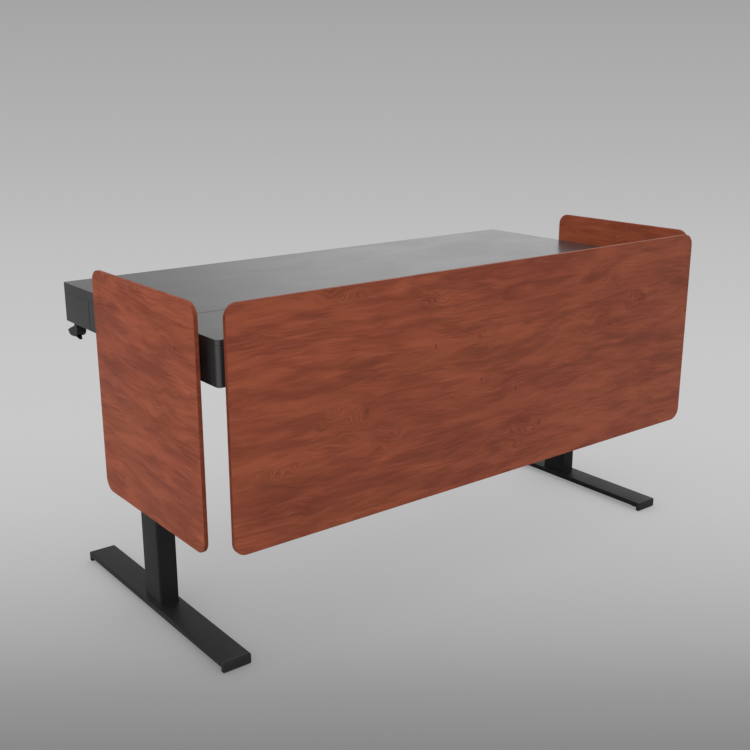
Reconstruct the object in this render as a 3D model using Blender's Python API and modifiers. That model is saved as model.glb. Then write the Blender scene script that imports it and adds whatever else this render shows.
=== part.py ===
"""Electric height-adjustable box desk with three wood privacy panels.

Frame: metres, +Z up, floor at z = 0, origin at the bottom centre of the
whole object's box.  The user sits at -Y and faces +Y, so +X is the user's
right hand.  "Front" is -Y, "rear" is +Y; the wide privacy panel is at the rear.
"""

import math

import bmesh
import bpy
from mathutils import Euler, Matrix, Vector

# ----------------------------------------------------------------- dimensions
GAP = 0.0003                  # clearance between neighbouring pieces
SIDES = (("left", -1), ("right", 1))      # name, sign of x
ENDS = (("front", -1), ("rear", 1))       # name, sign of y

# desk box
DESK_HALF_W = 0.800           # 1.600 m (63 in) wide
DESK_FRONT_Y = -0.4215
DESK_REAR_Y = 0.3935
TOP_Z = 0.810                 # work surface height at rest
BOARD_T = 0.025               # worktop board
BOARD_Z0 = TOP_Z - BOARD_T
LID_T = 0.012                 # rear cable lid
BOX_BOTTOM_Z = TOP_Z - 0.105  # lower edge of the skirt
SKIRT_T = 0.012
FRONT_R = 0.004               # front corners of the box, in plan
REAR_R = 0.010                # rear corners
SEAM_Y = 0.1415               # seam between worktop and rear lid
SEAM_GAP = 0.002
SKIRT_SEAM_Y = -0.2632        # vertical seam in the two side faces
SKIRT_SEAM_GAP = 0.002
BOARD_BEVEL = 0.0010          # edges of worktop, lid and panels

# inside the box
TROUGH_Y0, TROUGH_Y1 = 0.160, 0.372
TROUGH_Z0, TROUGH_Z1 = 0.7085, 0.7600
TROUGH_T = 0.0020
TROUGH_LENGTH = 1.480
STRIP_HALF_W = 0.240          # power strip, lying in the trough
STRIP_Y0, STRIP_Y1 = 0.2450, 0.2950
STRIP_Z1 = 0.7500
CONTROL_BOX_X0, CONTROL_BOX_X1 = -0.170, 0.130
CONTROL_BOX_Y0, CONTROL_BOX_Y1 = -0.2450, -0.1650
CONTROL_BOX_Z0 = 0.7450

# privacy panels
PANEL_T = 0.010
PANEL_Z0 = 0.3195
PANEL_H = 0.5715              # 22.5 in tall
PANEL_R = 0.033
BACK_PANEL_Y = -DESK_FRONT_Y  # outer face, as far back as the box is forward
BACK_PANEL_W = 1.5875         # 62.5 in wide
SIDE_PANEL_X = 0.8404         # outer face
SIDE_PANEL_Y0 = -0.1343       # front edge
SIDE_PANEL_DEPTH = 0.508      # 20 in

# panel brackets
BRACKET_T = 0.0025
BRACKET_Z0 = 0.7150
BACK_BRACKETS = (("left", -0.55), ("centre", 0.0), ("right", 0.55))   # name, x
BACK_BRACKET_HALF_W, BACK_BRACKET_H = 0.030, 0.050
SIDE_BRACKETS = (("front", -0.030), ("rear", 0.250))                  # name, y
SIDE_BRACKET_HALF_W, SIDE_BRACKET_H = 0.028, 0.060

# feet
LEG_X = 0.760
LEG_Y = -0.0215
FOOT_W = 0.077
FOOT_HALF_L = 0.378
FOOT_Z0 = 0.0120
FOOT_Z1 = 0.0275
FOOT_WALL = 0.0025
CAP_T = 0.011
CAP_Z0 = 0.0010
CAP_BEVEL = 0.0022

# levelling glides
GLIDE_R = 0.0175
GLIDE_H = 0.0080
GLIDE_CHAMFER = 0.0012
GLIDE_STEM_R = 0.0040
GLIDE_STEM_CLEARANCE = 0.0010  # stem top to the foot's upper wall
GLIDE_INSET = 0.040            # glide centre from the end of the foot
STEM_HOLE_DEPTH = 0.008
STEM_HOLE_RISE = 0.001         # cutter centre above the underside of the foot

# three-stage telescopic columns; sections are x by y
OUTER = (0.0530, 0.0850)
OUTER_WALL = 0.0020
OUTER_Z1 = 0.5000
MIDDLE = (0.0460, 0.0780)
MIDDLE_WALL = 0.0018
MIDDLE_Z0 = 0.1300
MIDDLE_Z1 = 0.6000
INNER = (0.0394, 0.0714)
INNER_WALL = 0.0018
INNER_Z0 = 0.2300
INNER_Z1 = 0.7350
COLLAR_H = 0.0040
COLUMN_R = 0.0045

# lift screw, one per leg
SPINDLE_R = 0.0060
SPINDLE_Z0 = 0.2350
HOLLOW_R = 0.0100
HOLLOW_BORE = 0.0072          # bore radius
HOLLOW_Z0 = 0.1400
HOLLOW_Z1 = 0.5900
NUT_R = 0.0140
NUT_BORE = 0.0112             # bore radius
NUT_Z1 = 0.4500

# drive on top of each column
GEARBOX_HALF_X = 0.024
GEARBOX_HALF_Y = 0.0400
GEARBOX_Z1 = 0.7800
MOTOR_R = 0.0260
MOTOR_Z = 0.7480
MOTOR_X0 = 0.5850             # inboard end

# plates under the worktop and the rails between the columns
SUPPORT_Z0 = 0.7805
SUPPORT_INBOARD = 0.070       # reach inboard of the column axis
SUPPORT_LENGTH = 0.455
SUPPORT_Y = -0.095            # centre
SUPPORT_R = 0.010
SUPPORT_HOLE_R = 0.0035
SUPPORT_HOLE_X = 0.010        # outboard of the plate's centre
SUPPORT_HOLE_YS = (-0.205, -0.165, 0.165, 0.205)
RAILS = (("front", -0.0950, -0.0650), ("rear", 0.0220, 0.0520))   # name, y0, y1
RAIL_H = 0.0200
RAIL_WALL = 0.0015
RAIL_END_GAP = 0.006          # rail end to gearbox

# lid hinge
HINGE_Y = DESK_REAR_Y + 0.0050
HINGE_Z = TOP_Z - LID_T - 0.0002
HINGE_HALF_L = 0.740
HINGE_KNUCKLES = 9
HINGE_PITCH = 2 * HINGE_HALF_L / HINGE_KNUCKLES
HINGE_KNUCKLE_INSET = 0.0010  # at each end of a knuckle
HINGE_R = 0.0032
HINGE_PIN_R = 0.0012
HINGE_PIN_EXTRA = 0.002       # pin length beyond the leaves
HINGE_LEAF_T = 0.0012
HINGE_LEAF_Z0 = 0.7700        # lower edge of the fixed leaf
HINGE_LEAF_DROP = 0.0012      # upper edge of the moving leaf below the top
HINGE_NEAR = 0.0009           # leaf edge and tab face nearest the axis height
HINGE_FAR = 0.0026            # tab face farthest from the axis height
HINGE_TAB_Y0 = DESK_REAR_Y + 0.0008
HINGE_TAB_Y1 = HINGE_Y - 0.0021

# hand control, under the front of the box at the user's right
CTRL_X = 0.7845
CTRL_HALF_W = 0.0135
CTRL_NECK_Y = -0.3667
CTRL_Z1 = BOX_BOTTOM_Z - 0.0004
CTRL_BEVEL = 0.0020
SLOT_HALF_W = 0.0095
SLOT_Y0, SLOT_Y1 = -0.4075, -0.3655
SLOT_Z0, SLOT_Z1 = 0.6500, 0.6760
PADDLE_AXIS_Y = -0.3930
PADDLE_AXIS_Z = 0.6690
PADDLE_W = 0.0176

# y, z of the housing: blunt nose at the front, a top that slopes up to the
# rear, and a neck reaching up to the underside of the skirt
HOUSING_OUTLINE = [
    (-0.4215, 0.6770), (-0.4160, 0.6700), (-0.4060, 0.6660), (-0.3850, 0.6660),
    (-0.3700, 0.6705), (-0.3612, 0.6780), (-0.3592, 0.6860), (-0.3592, CTRL_Z1),
    (-0.3745, CTRL_Z1), (-0.3780, 0.6975), (-0.4021, 0.6884), (-0.4200, 0.6812),
]
# y, z of the paddle, from its pivot
PADDLE_OUTLINE = [
    (-0.0110, -0.0010), (0.0040, -0.0024), (0.0130, -0.0050), (0.0245, -0.0098),
    (0.0262, -0.0088), (0.0180, -0.0032), (0.0100, 0.0006), (0.0030, 0.0024),
    (-0.0030, 0.0024), (-0.0110, 0.0016),
]

# cables
CABLE_GAP = 0.0006            # cable end to the face it leaves or enters
CABLE_BEND = 0.020            # longest run of a segment taken up by a bend
CABLE_BEND_SHARE = 0.45       # largest share of a segment taken up by a bend
MOTOR_CABLE_R = 0.0030
POWER_CABLE_R = 0.0035
CONTROL_CABLE_R = 0.0022

# ---------------------------------------------------------------- scene set-up
for old in list(bpy.data.objects):
    bpy.data.objects.remove(old)

PARTS = bpy.data.collections.new("standing_desk")
CUTTERS = bpy.data.collections.new("cutters")
for made in (PARTS, CUTTERS):
    bpy.context.scene.collection.children.link(made)
CUTTERS.hide_render = True


def attach(obj, body):
    """Parents obj to a body's empty and keeps it where it is."""
    bpy.context.view_layer.update()
    obj.parent = body
    obj.matrix_parent_inverse = body.matrix_world.inverted()
    return obj


def joint_empty(name, location, body=None):
    """The origin of a moving body, on its joint's axis."""
    empty = bpy.data.objects.new(name, None)
    empty.location = location
    empty.empty_display_size = 0.05
    PARTS.objects.link(empty)
    return attach(empty, body) if body else empty


BASE = joint_empty("base_frame", (0.0, LEG_Y, 0.0))
TOP = joint_empty("lift_carriage", (0.0, LEG_Y, INNER_Z1))
MIDDLES = {
    side: joint_empty("middle_stage_" + side, (sign * LEG_X, LEG_Y, MIDDLE_Z0))
    for side, sign in SIDES
}
LID = joint_empty("lid_pivot", (0.0, HINGE_Y, HINGE_Z))
PADDLE = joint_empty("paddle_pivot", (CTRL_X, PADDLE_AXIS_Y, PADDLE_AXIS_Z))


# ------------------------------------------------------------------ materials
def material(name, colour, roughness, metallic=0.0):
    mat = bpy.data.materials.new(name)
    mat.use_nodes = True
    shader = mat.node_tree.nodes["Principled BSDF"]
    shader.inputs["Base Color"].default_value = (*colour, 1.0)
    shader.inputs["Roughness"].default_value = roughness
    shader.inputs["Metallic"].default_value = metallic
    mat.diffuse_color = (*colour, 1.0)
    return mat


BLACK = (0.020, 0.020, 0.022)
POWDER_BLACK = material("powder_coat_black", BLACK, roughness=0.55)
WORKTOP_BLACK = material("worktop_charcoal", (0.032, 0.032, 0.035), roughness=0.38)
SKIRT_BLACK = material("skirt_black", BLACK, roughness=0.45)
PLASTIC_BLACK = material("plastic_black", (0.015, 0.015, 0.016), roughness=0.5)
CABLE_BLACK = material("cable_black", (0.012, 0.012, 0.012), roughness=0.6)
STEEL = material("zinc_steel", (0.55, 0.56, 0.57), roughness=0.35, metallic=1.0)
CAST_ALLOY = material("cast_alloy", (0.40, 0.40, 0.41), roughness=0.45, metallic=1.0)
CHERRY = material("cherry_wood", (0.235, 0.062, 0.038), roughness=0.42)


def dress(obj, mat, body, smooth=None):
    """Gives obj its material, its body and, if asked, smooth faces up to an angle."""
    obj.data.materials.append(mat)
    if smooth is not None:
        obj.data.shade_smooth()
        obj.data.set_sharp_from_angle(angle=math.radians(smooth))
    return attach(obj, body)


# ------------------------------------------------------------- plane outlines
def arc(centre_x, centre_y, radius, start, end, steps=6):
    points = []
    for k in range(steps + 1):
        angle = math.radians(start + (end - start) * k / steps)
        points.append((centre_x + radius * math.cos(angle),
                       centre_y + radius * math.sin(angle)))
    return points


def rounded_rect(width, depth, radius, steps=4):
    """Corner points of a rectangle with round corners, anticlockwise."""
    points = []
    for sign_x, sign_y, start in ((1, 1, 0), (-1, 1, 90), (-1, -1, 180), (1, -1, 270)):
        points += arc(sign_x * (width / 2 - radius), sign_y * (depth / 2 - radius),
                      radius, start, start + 90.0, steps)
    return points


def circle(radius, sides, centre=(0.0, 0.0)):
    return [(centre[0] + radius * math.cos(2 * math.pi * k / sides),
             centre[1] + radius * math.sin(2 * math.pi * k / sides))
            for k in range(sides)]


# -------------------------------------------------------------- shape helpers
def new_object(name, bm, location, collection=PARTS):
    mesh = bpy.data.meshes.new(name)
    bm.to_mesh(mesh)
    bm.free()
    obj = bpy.data.objects.new(name, mesh)
    obj.location = location
    collection.objects.link(obj)
    return obj


def add_bevel(obj, width, angle=40.0):
    mod = obj.modifiers.new("rounded_edges", "BEVEL")
    mod.width = width
    mod.segments = 2
    mod.limit_method = "ANGLE"
    mod.angle_limit = math.radians(angle)
    mod.use_clamp_overlap = True


def block(name, lo, hi, bevel=0.0, collection=PARTS):
    """A box between two corners, its origin at its centre."""
    lo, hi = Vector(lo), Vector(hi)
    bm = bmesh.new()
    bmesh.ops.create_cube(bm, size=1.0)
    bmesh.ops.scale(bm, vec=hi - lo, verts=bm.verts)
    bmesh.ops.recalc_face_normals(bm, faces=bm.faces)
    obj = new_object(name, bm, (lo + hi) / 2, collection)
    if bevel:
        add_bevel(obj, bevel)
    return obj


def rod(name, radius, length, centre, sides, along_x=False, collection=PARTS):
    """A solid cylinder along Z, or along X."""
    bm = bmesh.new()
    bmesh.ops.create_cone(bm, cap_ends=True, cap_tris=False, segments=sides,
                          radius1=radius, radius2=radius, depth=length)
    bmesh.ops.recalc_face_normals(bm, faces=bm.faces)
    obj = new_object(name, bm, centre, collection)
    if along_x:
        obj.rotation_euler = Euler((0.0, math.radians(90), 0.0))
    return obj


# the columns are the world directions of local x, y and z
PLANES = {
    "XY": Matrix.Identity(3),
    "XZ": Matrix(((1, 0, 0), (0, 0, -1), (0, 1, 0))),
    "YZ": Matrix(((0, 0, 1), (1, 0, 0), (0, 1, 0))),
}


def outline(name, loops, thickness, location, plane="XY", collection=PARTS):
    """A flat outline, with any holes, extruded by thickness about its plane."""
    curve = bpy.data.curves.new(name, "CURVE")
    curve.dimensions = "2D"
    curve.fill_mode = "BOTH"
    curve.extrude = thickness / 2
    for loop in loops:
        spline = curve.splines.new("POLY")
        spline.points.add(len(loop) - 1)
        for point, (x, y) in zip(spline.points, loop):
            point.co = (x, y, 0.0, 1.0)
        spline.use_cyclic_u = True
    flat = bpy.data.objects.new(name + "_outline", curve)
    bpy.context.scene.collection.objects.link(flat)
    bpy.context.view_layer.update()
    graph = bpy.context.evaluated_depsgraph_get()
    mesh = bpy.data.meshes.new_from_object(flat.evaluated_get(graph))
    mesh.name = name
    bpy.data.objects.remove(flat)

    obj = bpy.data.objects.new(name, mesh)
    obj.location = location
    obj.rotation_euler = PLANES[plane].to_euler()
    collection.objects.link(obj)

    # weld the caps to the walls; without holes, the caps become single faces
    bm = bmesh.new()
    bm.from_mesh(mesh)
    bmesh.ops.remove_doubles(bm, verts=bm.verts, dist=1e-6)
    if len(loops) == 1:
        bmesh.ops.dissolve_limit(bm, angle_limit=math.radians(0.5),
                                 verts=bm.verts, edges=bm.edges)
    bmesh.ops.recalc_face_normals(bm, faces=bm.faces)
    bm.to_mesh(mesh)
    bm.free()
    return obj


def slab(name, loops, z0, z1, centre=(0.0, 0.0)):
    """A plan outline extruded between two heights."""
    return outline(name, loops, z1 - z0, (*centre, (z0 + z1) / 2))


def wire(name, points, radius):
    """A round cable through the given points, with soft bends."""
    corners = [Vector(p) for p in points]
    path = [corners[0]]
    for before, corner, after in zip(corners, corners[1:], corners[2:]):
        bend = min(CABLE_BEND, (before - corner).length * CABLE_BEND_SHARE,
                   (after - corner).length * CABLE_BEND_SHARE)
        start = corner + (before - corner).normalized() * bend
        end = corner + (after - corner).normalized() * bend
        for t in (0.0, 0.33, 0.67, 1.0):
            path.append(start * (1 - t) ** 2 + corner * 2 * t * (1 - t) + end * t ** 2)
    path.append(corners[-1])
    curve = bpy.data.curves.new(name, "CURVE")
    curve.dimensions = "3D"
    curve.bevel_depth = radius
    curve.bevel_resolution = 1
    curve.use_fill_caps = True
    curve.resolution_u = 1
    spline = curve.splines.new("POLY")
    spline.points.add(len(path) - 1)
    for point, co in zip(spline.points, path):
        point.co = (*co, 1.0)
    obj = bpy.data.objects.new(name, curve)
    PARTS.objects.link(obj)
    dress(obj, CABLE_BLACK, TOP)


def cut(obj, cutter, operation="DIFFERENCE"):
    cutter.hide_render = True
    cutter.display_type = "WIRE"
    mod = obj.modifiers.new(operation.lower() + "_" + cutter.name, "BOOLEAN")
    mod.operation = operation
    mod.solver = "EXACT"
    mod.object = cutter


# ------------------------------------------------------------- feet and glides
def make_foot(side, x):
    """A flat tube along Y with a hole for each glide stem."""
    height = FOOT_Z1 - FOOT_Z0
    loops = [
        rounded_rect(FOOT_W, height, 0.0030, 2),
        rounded_rect(FOOT_W - 2 * FOOT_WALL, height - 2 * FOOT_WALL, 0.0008, 1),
    ]
    foot = outline("foot_" + side, loops, 2 * (FOOT_HALF_L - CAP_T - GAP),
                   (x, LEG_Y, (FOOT_Z0 + FOOT_Z1) / 2), "XZ")
    for end, toward in ENDS:
        y = LEG_Y + toward * (FOOT_HALF_L - GLIDE_INSET)
        cut(foot, rod("stem_hole_%s_%s" % (side, end), GLIDE_STEM_R + GAP, STEM_HOLE_DEPTH,
                      (x, y, FOOT_Z0 + STEM_HOLE_RISE), sides=16, collection=CUTTERS))
    dress(foot, POWDER_BLACK, BASE)


def make_foot_cap(side, x, end, toward):
    y = LEG_Y + toward * (FOOT_HALF_L - CAP_T / 2)
    cap = block("foot_cap_%s_%s" % (end, side),
                (x - FOOT_W / 2, y - CAP_T / 2, CAP_Z0),
                (x + FOOT_W / 2, y + CAP_T / 2, FOOT_Z1), CAP_BEVEL)
    dress(cap, PLASTIC_BLACK, BASE, smooth=40)


def make_glide(side, x, end, toward):
    """A pad on a stem, one profile turned about Z."""
    origin = (x, LEG_Y + toward * (FOOT_HALF_L - GLIDE_INSET), 0.0)
    stem_top = FOOT_Z1 - FOOT_WALL - GLIDE_STEM_CLEARANCE
    # radius, z, from the top of the stem down
    profile = [
        (0.0, stem_top), (GLIDE_STEM_R, stem_top), (GLIDE_STEM_R, GLIDE_H),
        (GLIDE_R * 0.55, GLIDE_H), (GLIDE_R, GLIDE_H * 0.55),
        (GLIDE_R, GLIDE_CHAMFER), (GLIDE_R - GLIDE_CHAMFER, 0.0), (0.0, 0.0),
    ]
    bm = bmesh.new()
    verts = [bm.verts.new((radius, 0.0, z)) for radius, z in profile]
    for pair in zip(verts, verts[1:]):
        bm.edges.new(pair)
    glide = new_object("levelling_glide_%s_%s" % (end, side), bm, origin)
    mod = glide.modifiers.new("turned", "SCREW")
    mod.axis = "Z"
    mod.steps = mod.render_steps = 20
    mod.use_merge_vertices = True
    mod.merge_threshold = 0.00005
    mod.use_smooth_shade = True
    pivot = joint_empty("glide_%s_%s_stem" % (end, side), origin, BASE)
    dress(glide, PLASTIC_BLACK, pivot)


# --------------------------------------------------------- telescopic columns
def column_tube(name, section, wall, z0, z1, x, body):
    loops = [rounded_rect(*section, COLUMN_R),
             rounded_rect(section[0] - 2 * wall, section[1] - 2 * wall, COLUMN_R - wall)]
    dress(slab(name, loops, z0, z1, (x, LEG_Y)), POWDER_BLACK, body, smooth=35)


def collar(name, section, passing, tube_top, x, body):
    """A ring on top of a tube, around the next stage passing through it."""
    loops = [rounded_rect(*section, COLUMN_R),
             rounded_rect(passing[0] + 2 * GAP, passing[1] + 2 * GAP, COLUMN_R)]
    z0 = tube_top + GAP
    dress(slab(name, loops, z0, z0 + COLLAR_H, (x, LEG_Y)), PLASTIC_BLACK, body, smooth=35)


def make_column(side, x):
    middle = MIDDLES[side]
    column_tube("column_outer_" + side, OUTER, OUTER_WALL, FOOT_Z1 + GAP, OUTER_Z1, x, BASE)
    collar("column_outer_collar_" + side, OUTER, MIDDLE, OUTER_Z1, x, BASE)
    column_tube("column_middle_" + side, MIDDLE, MIDDLE_WALL, MIDDLE_Z0, MIDDLE_Z1, x, middle)
    collar("column_middle_collar_" + side, MIDDLE, INNER, MIDDLE_Z1, x, middle)
    column_tube("column_inner_" + side, INNER, INNER_WALL, INNER_Z0, INNER_Z1, x, TOP)


def make_lift_screw(side, x):
    """Fixed nut tube, hollow screw inside it and the driven spindle inside that."""
    for name, radius, bore, z0, z1, body in (
            ("lift_nut_tube_", NUT_R, NUT_BORE, FOOT_Z1 + GAP, NUT_Z1, BASE),
            ("hollow_screw_", HOLLOW_R, HOLLOW_BORE, HOLLOW_Z0, HOLLOW_Z1, MIDDLES[side])):
        pipe = slab(name + side, [circle(radius, 20), circle(bore, 20)], z0, z1, (x, LEG_Y))
        dress(pipe, STEEL, body, smooth=40)
    spindle_top = INNER_Z1 - GAP
    pivot = joint_empty("spindle_axis_" + side, (x, LEG_Y, spindle_top), TOP)
    spindle = rod("lift_spindle_" + side, SPINDLE_R, spindle_top - SPINDLE_Z0,
                  (x, LEG_Y, (SPINDLE_Z0 + spindle_top) / 2), sides=20)
    dress(spindle, STEEL, pivot, smooth=40)


# -------------------------------------------------------- drive heads and rails
def make_drive(side, sign):
    """The gearbox on the column and the motor lying along X inboard of it."""
    x = sign * LEG_X
    gearbox = block("gearbox_" + side,
                    (x - GEARBOX_HALF_X, LEG_Y - GEARBOX_HALF_Y, INNER_Z1 + GAP),
                    (x + GEARBOX_HALF_X, LEG_Y + GEARBOX_HALF_Y, GEARBOX_Z1), 0.004)
    dress(gearbox, CAST_ALLOY, TOP, smooth=40)

    motor_x1 = LEG_X - GEARBOX_HALF_X - GAP
    motor = rod("motor_" + side, MOTOR_R, motor_x1 - MOTOR_X0,
                (sign * (motor_x1 + MOTOR_X0) / 2, LEG_Y, MOTOR_Z), sides=28, along_x=True)
    add_bevel(motor, 0.003, angle=50)
    dress(motor, POWDER_BLACK, TOP, smooth=40)


def make_support(side, sign):
    """The drilled plate between the drive head and the worktop."""
    loops = [rounded_rect(GEARBOX_HALF_X + SUPPORT_INBOARD, SUPPORT_LENGTH, SUPPORT_R, 3)]
    for y in SUPPORT_HOLE_YS:
        loops.append(circle(SUPPORT_HOLE_R, 10, (sign * SUPPORT_HOLE_X, y)))
    centre_x = sign * (LEG_X + (GEARBOX_HALF_X - SUPPORT_INBOARD) / 2)
    support = slab("top_support_" + side, loops, SUPPORT_Z0, BOARD_Z0 - GAP,
                   (centre_x, SUPPORT_Y))
    dress(support, POWDER_BLACK, TOP)


def make_rail(end, y0, y1):
    """A rectangular tube along X."""
    width = y1 - y0
    loops = [rounded_rect(width, RAIL_H, 0.0025, 2),
             rounded_rect(width - 2 * RAIL_WALL, RAIL_H - 2 * RAIL_WALL, 0.0010, 1)]
    rail = outline("cross_rail_" + end, loops, 2 * (LEG_X - GEARBOX_HALF_X - RAIL_END_GAP),
                   (0.0, (y0 + y1) / 2, SUPPORT_Z0 - GAP - RAIL_H / 2), "YZ")
    dress(rail, POWDER_BLACK, TOP)


# --------------------------------------------------------------- box and lid
# round corners in plan; the front pair runs left to right, the rear right to left
FRONT_CORNERS = (
    arc(-DESK_HALF_W + FRONT_R, DESK_FRONT_Y + FRONT_R, FRONT_R, 180, 270)
    + arc(DESK_HALF_W - FRONT_R, DESK_FRONT_Y + FRONT_R, FRONT_R, 270, 360)
)
REAR_CORNERS = (
    arc(DESK_HALF_W - REAR_R, DESK_REAR_Y - REAR_R, REAR_R, 0, 90)
    + arc(-DESK_HALF_W + REAR_R, DESK_REAR_Y - REAR_R, REAR_R, 90, 180)
)
WORKTOP_REAR_Y = SEAM_Y - SEAM_GAP / 2
SKIRT_INNER_X = DESK_HALF_W - SKIRT_T


def make_top_board(name, loop, thickness, body):
    board = slab(name, [loop], TOP_Z - thickness, TOP_Z)
    add_bevel(board, BOARD_BEVEL, angle=60)
    dress(board, WORKTOP_BLACK, body, smooth=40)


def make_worktop():
    loop = [(DESK_HALF_W, WORKTOP_REAR_Y), (-DESK_HALF_W, WORKTOP_REAR_Y)] + FRONT_CORNERS
    make_top_board("worktop", loop, BOARD_T, TOP)


def make_rear_lid():
    y0 = SEAM_Y + SEAM_GAP / 2
    loop = [(-DESK_HALF_W, y0), (DESK_HALF_W, y0)] + REAR_CORNERS
    make_top_board("rear_lid", loop, LID_T, LID)


def make_skirt_front():
    """A U in plan, open to the rear, ending at the side seams."""
    seam = SKIRT_SEAM_Y - SKIRT_SEAM_GAP / 2
    inner_y = DESK_FRONT_Y + SKIRT_T
    loop = [(-DESK_HALF_W, seam)] + FRONT_CORNERS + [
        (DESK_HALF_W, seam), (SKIRT_INNER_X, seam), (SKIRT_INNER_X, inner_y),
        (-SKIRT_INNER_X, inner_y), (-SKIRT_INNER_X, seam)]
    skirt = slab("skirt_front", [loop], BOX_BOTTOM_Z, BOARD_Z0 - GAP)
    dress(skirt, SKIRT_BLACK, TOP, smooth=35)


def make_skirt_rear():
    """A U in plan, open to the front, starting at the side seams."""
    seam = SKIRT_SEAM_Y + SKIRT_SEAM_GAP / 2
    inner_y = DESK_REAR_Y - SKIRT_T
    loop = [(DESK_HALF_W, seam)] + REAR_CORNERS + [
        (-DESK_HALF_W, seam), (-SKIRT_INNER_X, seam), (-SKIRT_INNER_X, inner_y),
        (SKIRT_INNER_X, inner_y), (SKIRT_INNER_X, seam)]
    skirt = slab("skirt_rear", [loop], BOX_BOTTOM_Z, TOP_Z - LID_T - GAP)
    # the sides step down where they carry the thicker worktop board
    margin = 0.05
    cutter_front_y = -0.5
    cut(skirt, block("worktop_step",
                     (-DESK_HALF_W - margin, cutter_front_y, BOARD_Z0 - GAP),
                     (DESK_HALF_W + margin, WORKTOP_REAR_Y + GAP, TOP_Z + margin),
                     collection=CUTTERS))
    dress(skirt, SKIRT_BLACK, TOP, smooth=35)


def make_trough():
    """The cable trough under the lid, a U open upward, running along X."""
    inner_y0, inner_y1 = TROUGH_Y0 + TROUGH_T, TROUGH_Y1 - TROUGH_T
    floor = TROUGH_Z0 + TROUGH_T
    loop = [
        (TROUGH_Y0, TROUGH_Z1), (TROUGH_Y0, TROUGH_Z0), (TROUGH_Y1, TROUGH_Z0),
        (TROUGH_Y1, TROUGH_Z1), (inner_y1, TROUGH_Z1), (inner_y1, floor),
        (inner_y0, floor), (inner_y0, TROUGH_Z1),
    ]
    trough = outline("cable_trough", [loop], TROUGH_LENGTH, (0.0, 0.0, 0.0), "YZ")
    dress(trough, POWDER_BLACK, TOP)


def make_electrics():
    strip = block("power_strip", (-STRIP_HALF_W, STRIP_Y0, TROUGH_Z0 + TROUGH_T + GAP),
                  (STRIP_HALF_W, STRIP_Y1, STRIP_Z1), 0.004)
    dress(strip, PLASTIC_BLACK, TOP, smooth=40)
    box = block("control_box", (CONTROL_BOX_X0, CONTROL_BOX_Y0, CONTROL_BOX_Z0),
                (CONTROL_BOX_X1, CONTROL_BOX_Y1, BOARD_Z0 - GAP), 0.005)
    dress(box, PLASTIC_BLACK, TOP, smooth=40)


# ---------------------------------------------------------------- piano hinge
def hinge_leaf(name, z0, z1, tab_z0, tab_z1, first, body):
    """A leaf with every second knuckle, each joined to it by a tab."""
    leaf_y0 = DESK_REAR_Y + GAP
    leaf = block(name, (-HINGE_HALF_L, leaf_y0, z0),
                 (HINGE_HALF_L, leaf_y0 + HINGE_LEAF_T, z1))
    for k in range(first, HINGE_KNUCKLES, 2):
        x0 = -HINGE_HALF_L + k * HINGE_PITCH + HINGE_KNUCKLE_INSET
        x1 = -HINGE_HALF_L + (k + 1) * HINGE_PITCH - HINGE_KNUCKLE_INSET
        tab = block("%s_tab_%d" % (name, k), (x0, HINGE_TAB_Y0, tab_z0),
                    (x1, HINGE_TAB_Y1, tab_z1), collection=CUTTERS)
        cut(leaf, tab, "UNION")
        barrel = outline("%s_barrel_%d" % (name, k),
                         [circle(HINGE_R, 14), circle(HINGE_PIN_R + GAP, 14)],
                         x1 - x0, ((x0 + x1) / 2, HINGE_Y, HINGE_Z), "YZ", CUTTERS)
        cut(leaf, barrel, "UNION")
    dress(leaf, STEEL, body)


def make_hinge():
    """Two leaves with alternate knuckles on one pin."""
    below, above = HINGE_Z - HINGE_NEAR, HINGE_Z + HINGE_NEAR
    hinge_leaf("hinge_leaf_fixed", HINGE_LEAF_Z0, below,
               HINGE_Z - HINGE_FAR, below, 0, TOP)
    hinge_leaf("hinge_leaf_moving", above, TOP_Z - HINGE_LEAF_DROP,
               above, HINGE_Z + HINGE_FAR, 1, LID)
    pin = rod("hinge_pin", HINGE_PIN_R, 2 * HINGE_HALF_L + HINGE_PIN_EXTRA,
              (0.0, HINGE_Y, HINGE_Z), sides=12, along_x=True)
    dress(pin, STEEL, TOP, smooth=40)


# -------------------------------------------------------------- privacy panels
def panel(name, width, x, y, plane):
    board = outline(name, [rounded_rect(width, PANEL_H, PANEL_R, 8)], PANEL_T,
                    (x, y, PANEL_Z0 + PANEL_H / 2), plane)
    add_bevel(board, BOARD_BEVEL, angle=60)
    dress(board, CHERRY, TOP, smooth=30)


def z_bracket(name, inner, outer, centre, half, height, turn):
    """A folded standoff: a flange on the box, a web, a flange on the panel.

    inner and outer are the distances of its two outside faces from centre,
    across the gap; turn is in degrees about Z.
    """
    web = BRACKET_T / 2
    loop = [(-half, inner), (web, inner), (web, outer - BRACKET_T),
            (half, outer - BRACKET_T), (half, outer), (-web, outer),
            (-web, inner + BRACKET_T), (-half, inner + BRACKET_T)]
    bracket = slab(name, [loop], BRACKET_Z0, BRACKET_Z0 + height, centre)
    bracket.rotation_euler = Euler((0.0, 0.0, math.radians(turn)))
    dress(bracket, POWDER_BLACK, TOP)


def make_back_panel():
    panel("back_panel", BACK_PANEL_W, 0.0, BACK_PANEL_Y - PANEL_T / 2, "XZ")
    for name, x in BACK_BRACKETS:
        z_bracket("back_bracket_" + name, DESK_REAR_Y + GAP, BACK_PANEL_Y - PANEL_T - GAP,
                  (x, 0.0), BACK_BRACKET_HALF_W, BACK_BRACKET_H, 0.0)


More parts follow.
